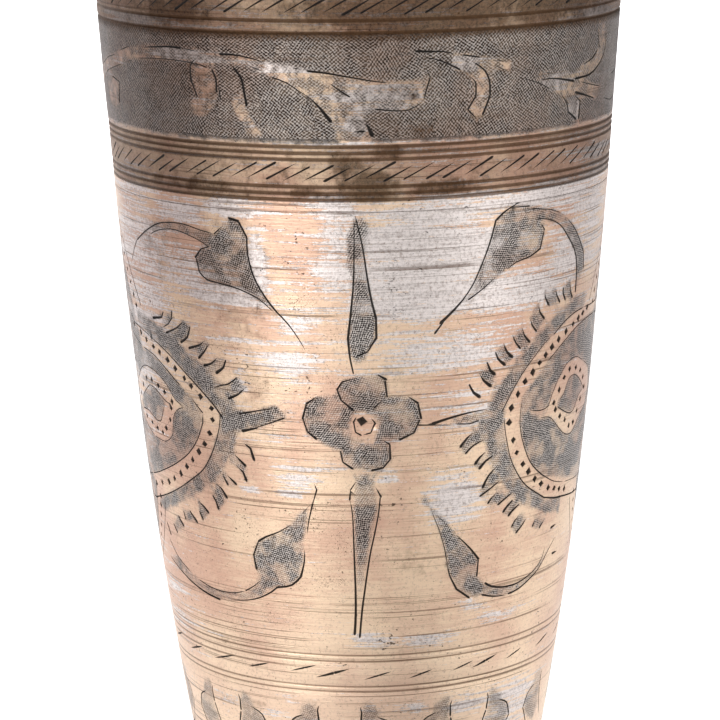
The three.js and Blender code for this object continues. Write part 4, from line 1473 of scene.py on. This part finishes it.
def dirt_and_shade_cover(s, band):
    """Brown dirt in the two bands of leaning cuts and above, thinner in the vine band, and in the stains, two
    of which are painted shade left of each panel's flower.
    """
    lower_rope = s.step(s.height, 136.4, 138) * s.step(s.height, 147.4, 148.6, 1, 0)
    above_vine = s.step(s.height, 166.5, 169)
    bands = lower_rope * 0.62 + above_vine * 0.8
    # The stain patches come in here, two of them painted shade.
    blot_and_shade = s.noise(0.4, 4, 0.65) * 1.5 + (s.stored("darkening") - 0.75)
    dirt_and_shade = s.step(blot_and_shade, 0.2, 0.95) * 0.36 + bands * 0.75 + band * 0.37
    return s.step(s.noise(0.35, 5, 0.65) * 0.34 + dirt_and_shade, 0.24, 1)


def painted_flank_shade(s):
    """Painted shade that greys the left and right flanks of the barrel, fading towards the foot."""
    side = s.part(s.vector("NORMALIZE", s.vector("MULTIPLY", s.place, (1, 1, 0))), 0)
    flank = s.larger(side * -1, side - 0.35) + s.noise(0.03) * 0.2
    return s.step(flank, 0.32, 0.85, 0, 0.75) * s.step(s.height, 50, 130, 0.15, 1)


def engraved_brass():
    s = Shader("engraved_brass")
    vine_top = s.step(s.height, VINE_TOP, VINE_TOP + EDGE, 1, 0)
    band = s.step(s.height, VINE_BOTTOM, VINE_BOTTOM + EDGE) * vine_top
    cloud = s.noise(0.045, 4, 0.55)
    fine = s.streaks(0.08, 4.5, 4, 0.6)
    grain = s.noise(1.7, 4, 0.75)
    ribbons = s.streaks(0.16, 3.2, 3, 0.6)
    tin = tin_cover(s, ribbons)

    brass = s.mix(s.step(ribbons * 0.35 + cloud, 0.52, 0.8), BRASS_LIGHT, BRASS_DEEP)
    brass = s.mix(s.step(fine, 0.52, 0.7, 0, 0.4), brass, BRASS_DEEP)
    # Painted highlight: the brass turns paler towards the foot.
    brass = s.mix(s.step(s.height, 24, 64, 0.6, 0), brass, FOOT_SHEEN_BRASS)
    tin_colour = s.mix(s.step(fine * 0.6 + grain * 0.6, 0.52, 0.76), TIN_BRIGHT, TIN_DULL)
    colour = s.mix(tin, brass, tin_colour)
    colour = s.mix(s.step(grain, 0.5, 0.72, 0, 0.5), colour, GRIT)

    lines = hatch_lines(s)
    hatch = hatch_cover(s, band)
    ground = s.mix(s.step(lines, 0.25, 0.8), HATCH_DARK, HATCH_LIGHT)
    warm = s.mix(s.step(cloud, 0.4, 0.62), ground, BRASS_DEEP, "MULTIPLY")
    colour = s.mix(hatch, colour, s.mix(0.4, ground, warm))

    marks = scratches(s)
    pits = specks(s)
    dirt_and_shade = dirt_and_shade_cover(s, band)
    cut = s.step(s.stored("cut"), 0, 0.22)
    colour = s.mix(marks * (hatch * -0.5 + 0.64), colour, PATINA)
    colour = s.mix(pits * 0.75, colour, GROOVE)
    # Dirt, and the painted shade from two of the stain patches.
    colour = s.mix(dirt_and_shade * 0.85, colour, s.mix(s.step(grain, 0.35, 0.7), PATINA, GROOVE))
    colour = s.mix(s.step(s.stored("turned"), 0.1, 0.4) * 0.7, colour, PATINA)
    colour = s.mix(cut * 0.95, colour, GROOVE)
    # Painted shade greys the left and right flanks.
    colour = s.mix(painted_flank_shade(s), colour, s.mix(1, colour, FLANK_SHADE, "MULTIPLY"))

    relief = lines * hatch * 0.07 + fine * 0.05 + grain * 0.03 + tin * 0.02 - pits * 0.12 - marks * 0.05
    rough = grain * 0.14 - tin * 0.03 + 0.33
    rough = s.math("ADD", s.larger(cut, dirt_and_shade) * 0.3, rough, clamp=True)
    return s.finish(colour, rough, relief, cut * -0.6 + 1)


def worn_metal(name, light, dark, streak=2.5, tarnish=0.5, rough=0.36):
    """Turned and worn bright metal with tarnish in blotches."""
    s = Shader(name)
    cloud = s.noise(0.07, 5, 0.6)
    lathe_marks = s.streaks(0.08, streak, 5, 0.65)
    grain = s.noise(2.2, 4, 0.65)
    colour = s.mix(s.step(lathe_marks * 0.5 + cloud, 0.55, 0.95), light, dark)
    blotch = s.step(s.noise(0.3, 5, 0.7), 0.62 - 0.2 * tarnish, 0.85)
    colour = s.mix(blotch * tarnish, colour, PATINA)
    pit_size = s.step(s.part(s.cells(0.5, "Color"), 0), 0.6, 1, 0, 0.16)
    pits = s.math("LESS_THAN", s.cells(0.5, "Distance"), pit_size)
    colour = s.mix(pits * 0.5, colour, GROOVE)
    relief = lathe_marks * 0.06 + grain * 0.03 - pits * 0.1
    roughness = grain * 0.16 + blotch * 0.22 + (rough - 0.08)
    return s.finish(colour, roughness, relief)


def wiped_tin():
    """Tin wiped on with a rag: long soft streaks, dull grey with duller spots."""
    s = Shader("wiped_tin")
    wipes = s.streaks(0.06, 0.5, 5, 0.6, 1.2)
    rings = s.streaks(0.05, 4.5, 4, 0.6)
    colour = s.mix(s.step(rings * 0.4 + wipes, 0.5, 0.9), TIN_INSIDE, TIN_BRIGHT)
    darkening = s.step(s.noise(2, 4, 0.6) * 0.2 + s.noise(0.06, 4, 0.6), 0.6, 0.85)
    colour = s.mix(darkening * 0.5, colour, TIN_STAIN)
    rough = darkening * 0.2 + wipes * 0.2 + 0.26
    return s.finish(colour, rough, wipes * 0.12 + rings * 0.05)


# --------------------------------------------------------------------------------------------- the tumbler
def dress(piece, material):
    piece.data.materials.clear()
    piece.data.materials.append(material)


cast = worn_metal("cast_brass", CAST_BRASS, CAST_DEEP, tarnish=0.6)
sheet_brass = worn_metal("sheet_brass", SHEET_BRASS, SHEET_DEEP, streak=0.6, tarnish=0.75, rough=0.5)
filler = worn_metal("braze", BRAZE_YELLOW, BRAZE_DEEP, streak=1, tarnish=0.4, rough=0.48)

dress(make_barrel(), engraved_brass())
dress(make_rim(), cast)
dress(make_foot(), cast)
dress(make_floor(), sheet_brass)
dress(make_lining(), wiped_tin())
make_fillets()
for filler_name in ("rim_filler", "foot_filler", "floor_filler"):
    dress(bpy.data.objects[filler_name], filler)


# ------------------------------------------------------------------------------------ floor, light, camera
AIM_HEIGHT = 0.0972
CAMERA_DISTANCE = 0.616
CAMERA_ELEVATION = math.radians(11.72)
CAMERA_ROLL = math.radians(-0.77)
CAMERA_LENS = 151.75
AIM_ASIDE = -0.00066
LIT_PLACE = (0, 0, 0.1)
FLOOR_HALF_WIDTH = 6


def make_floor_plane():
    reach = FLOOR_HALF_WIDTH
    corners = [(-reach, -reach, 0), (reach, -reach, 0), (reach, reach, 0), (-reach, reach, 0)]
    plane = make_mesh("floor", corners, [(0, 1, 2, 3)])
    material = bpy.data.materials.new("pale_floor")
    material.use_nodes = True
    surface = material.node_tree.nodes["Principled BSDF"]
    surface.inputs["Base Color"].default_value = (0.93, 0.93, 0.94, 1)
    surface.inputs["Roughness"].default_value = 0.9
    dress(plane, material)


def add_light(name, place, target, size, power):
    data = bpy.data.lights.new(name, "AREA")
    data.shape = "RECTANGLE"
    data.size, data.size_y = size
    data.energy = power
    lamp = bpy.data.objects.new(name, data)
    lamp.location = place
    lamp.rotation_euler = (Vector(target) - Vector(place)).to_track_quat("-Z", "Y").to_euler()
    bpy.context.collection.objects.link(lamp)


def make_world(strength):
    world = bpy.data.worlds.new("studio")
    world.use_nodes = True
    background = world.node_tree.nodes["Background"]
    background.inputs["Color"].default_value = (0.98, 0.99, 1, 1)
    background.inputs["Strength"].default_value = strength
    bpy.context.scene.world = world


def make_camera():
    data = bpy.data.cameras.new("camera")
    data.lens = CAMERA_LENS
    data.sensor_width = 36
    data.clip_end = 50
    camera = bpy.data.objects.new("camera", data)
    bpy.context.collection.objects.link(camera)
    away = Vector((0, -math.cos(CAMERA_ELEVATION), math.sin(CAMERA_ELEVATION)))
    place = Vector((0, 0, AIM_HEIGHT)) + away * CAMERA_DISTANCE
    look = (Vector((AIM_ASIDE, 0, AIM_HEIGHT)) - place).to_track_quat("-Z", "Y").to_matrix().to_4x4()
    camera.matrix_world = Matrix.Translation(place) @ look @ Matrix.Rotation(CAMERA_ROLL, 4, "Z")
    bpy.context.scene.camera = camera


make_floor_plane()
make_world(0.4)
add_light("key", (-0.62, -0.93, 0.14), LIT_PLACE, (0.6, 0.5), 6)
add_light("side", (1.1, -0.75, 0.4), LIT_PLACE, (0.3, 0.6), 4.5)
add_light("back", (-0.5, 1.6, 1.3), (0, 0.7, 0), (2.2, 1.2), 75)
make_camera()
bpy.context.scene.view_settings.view_transform = "Standard"
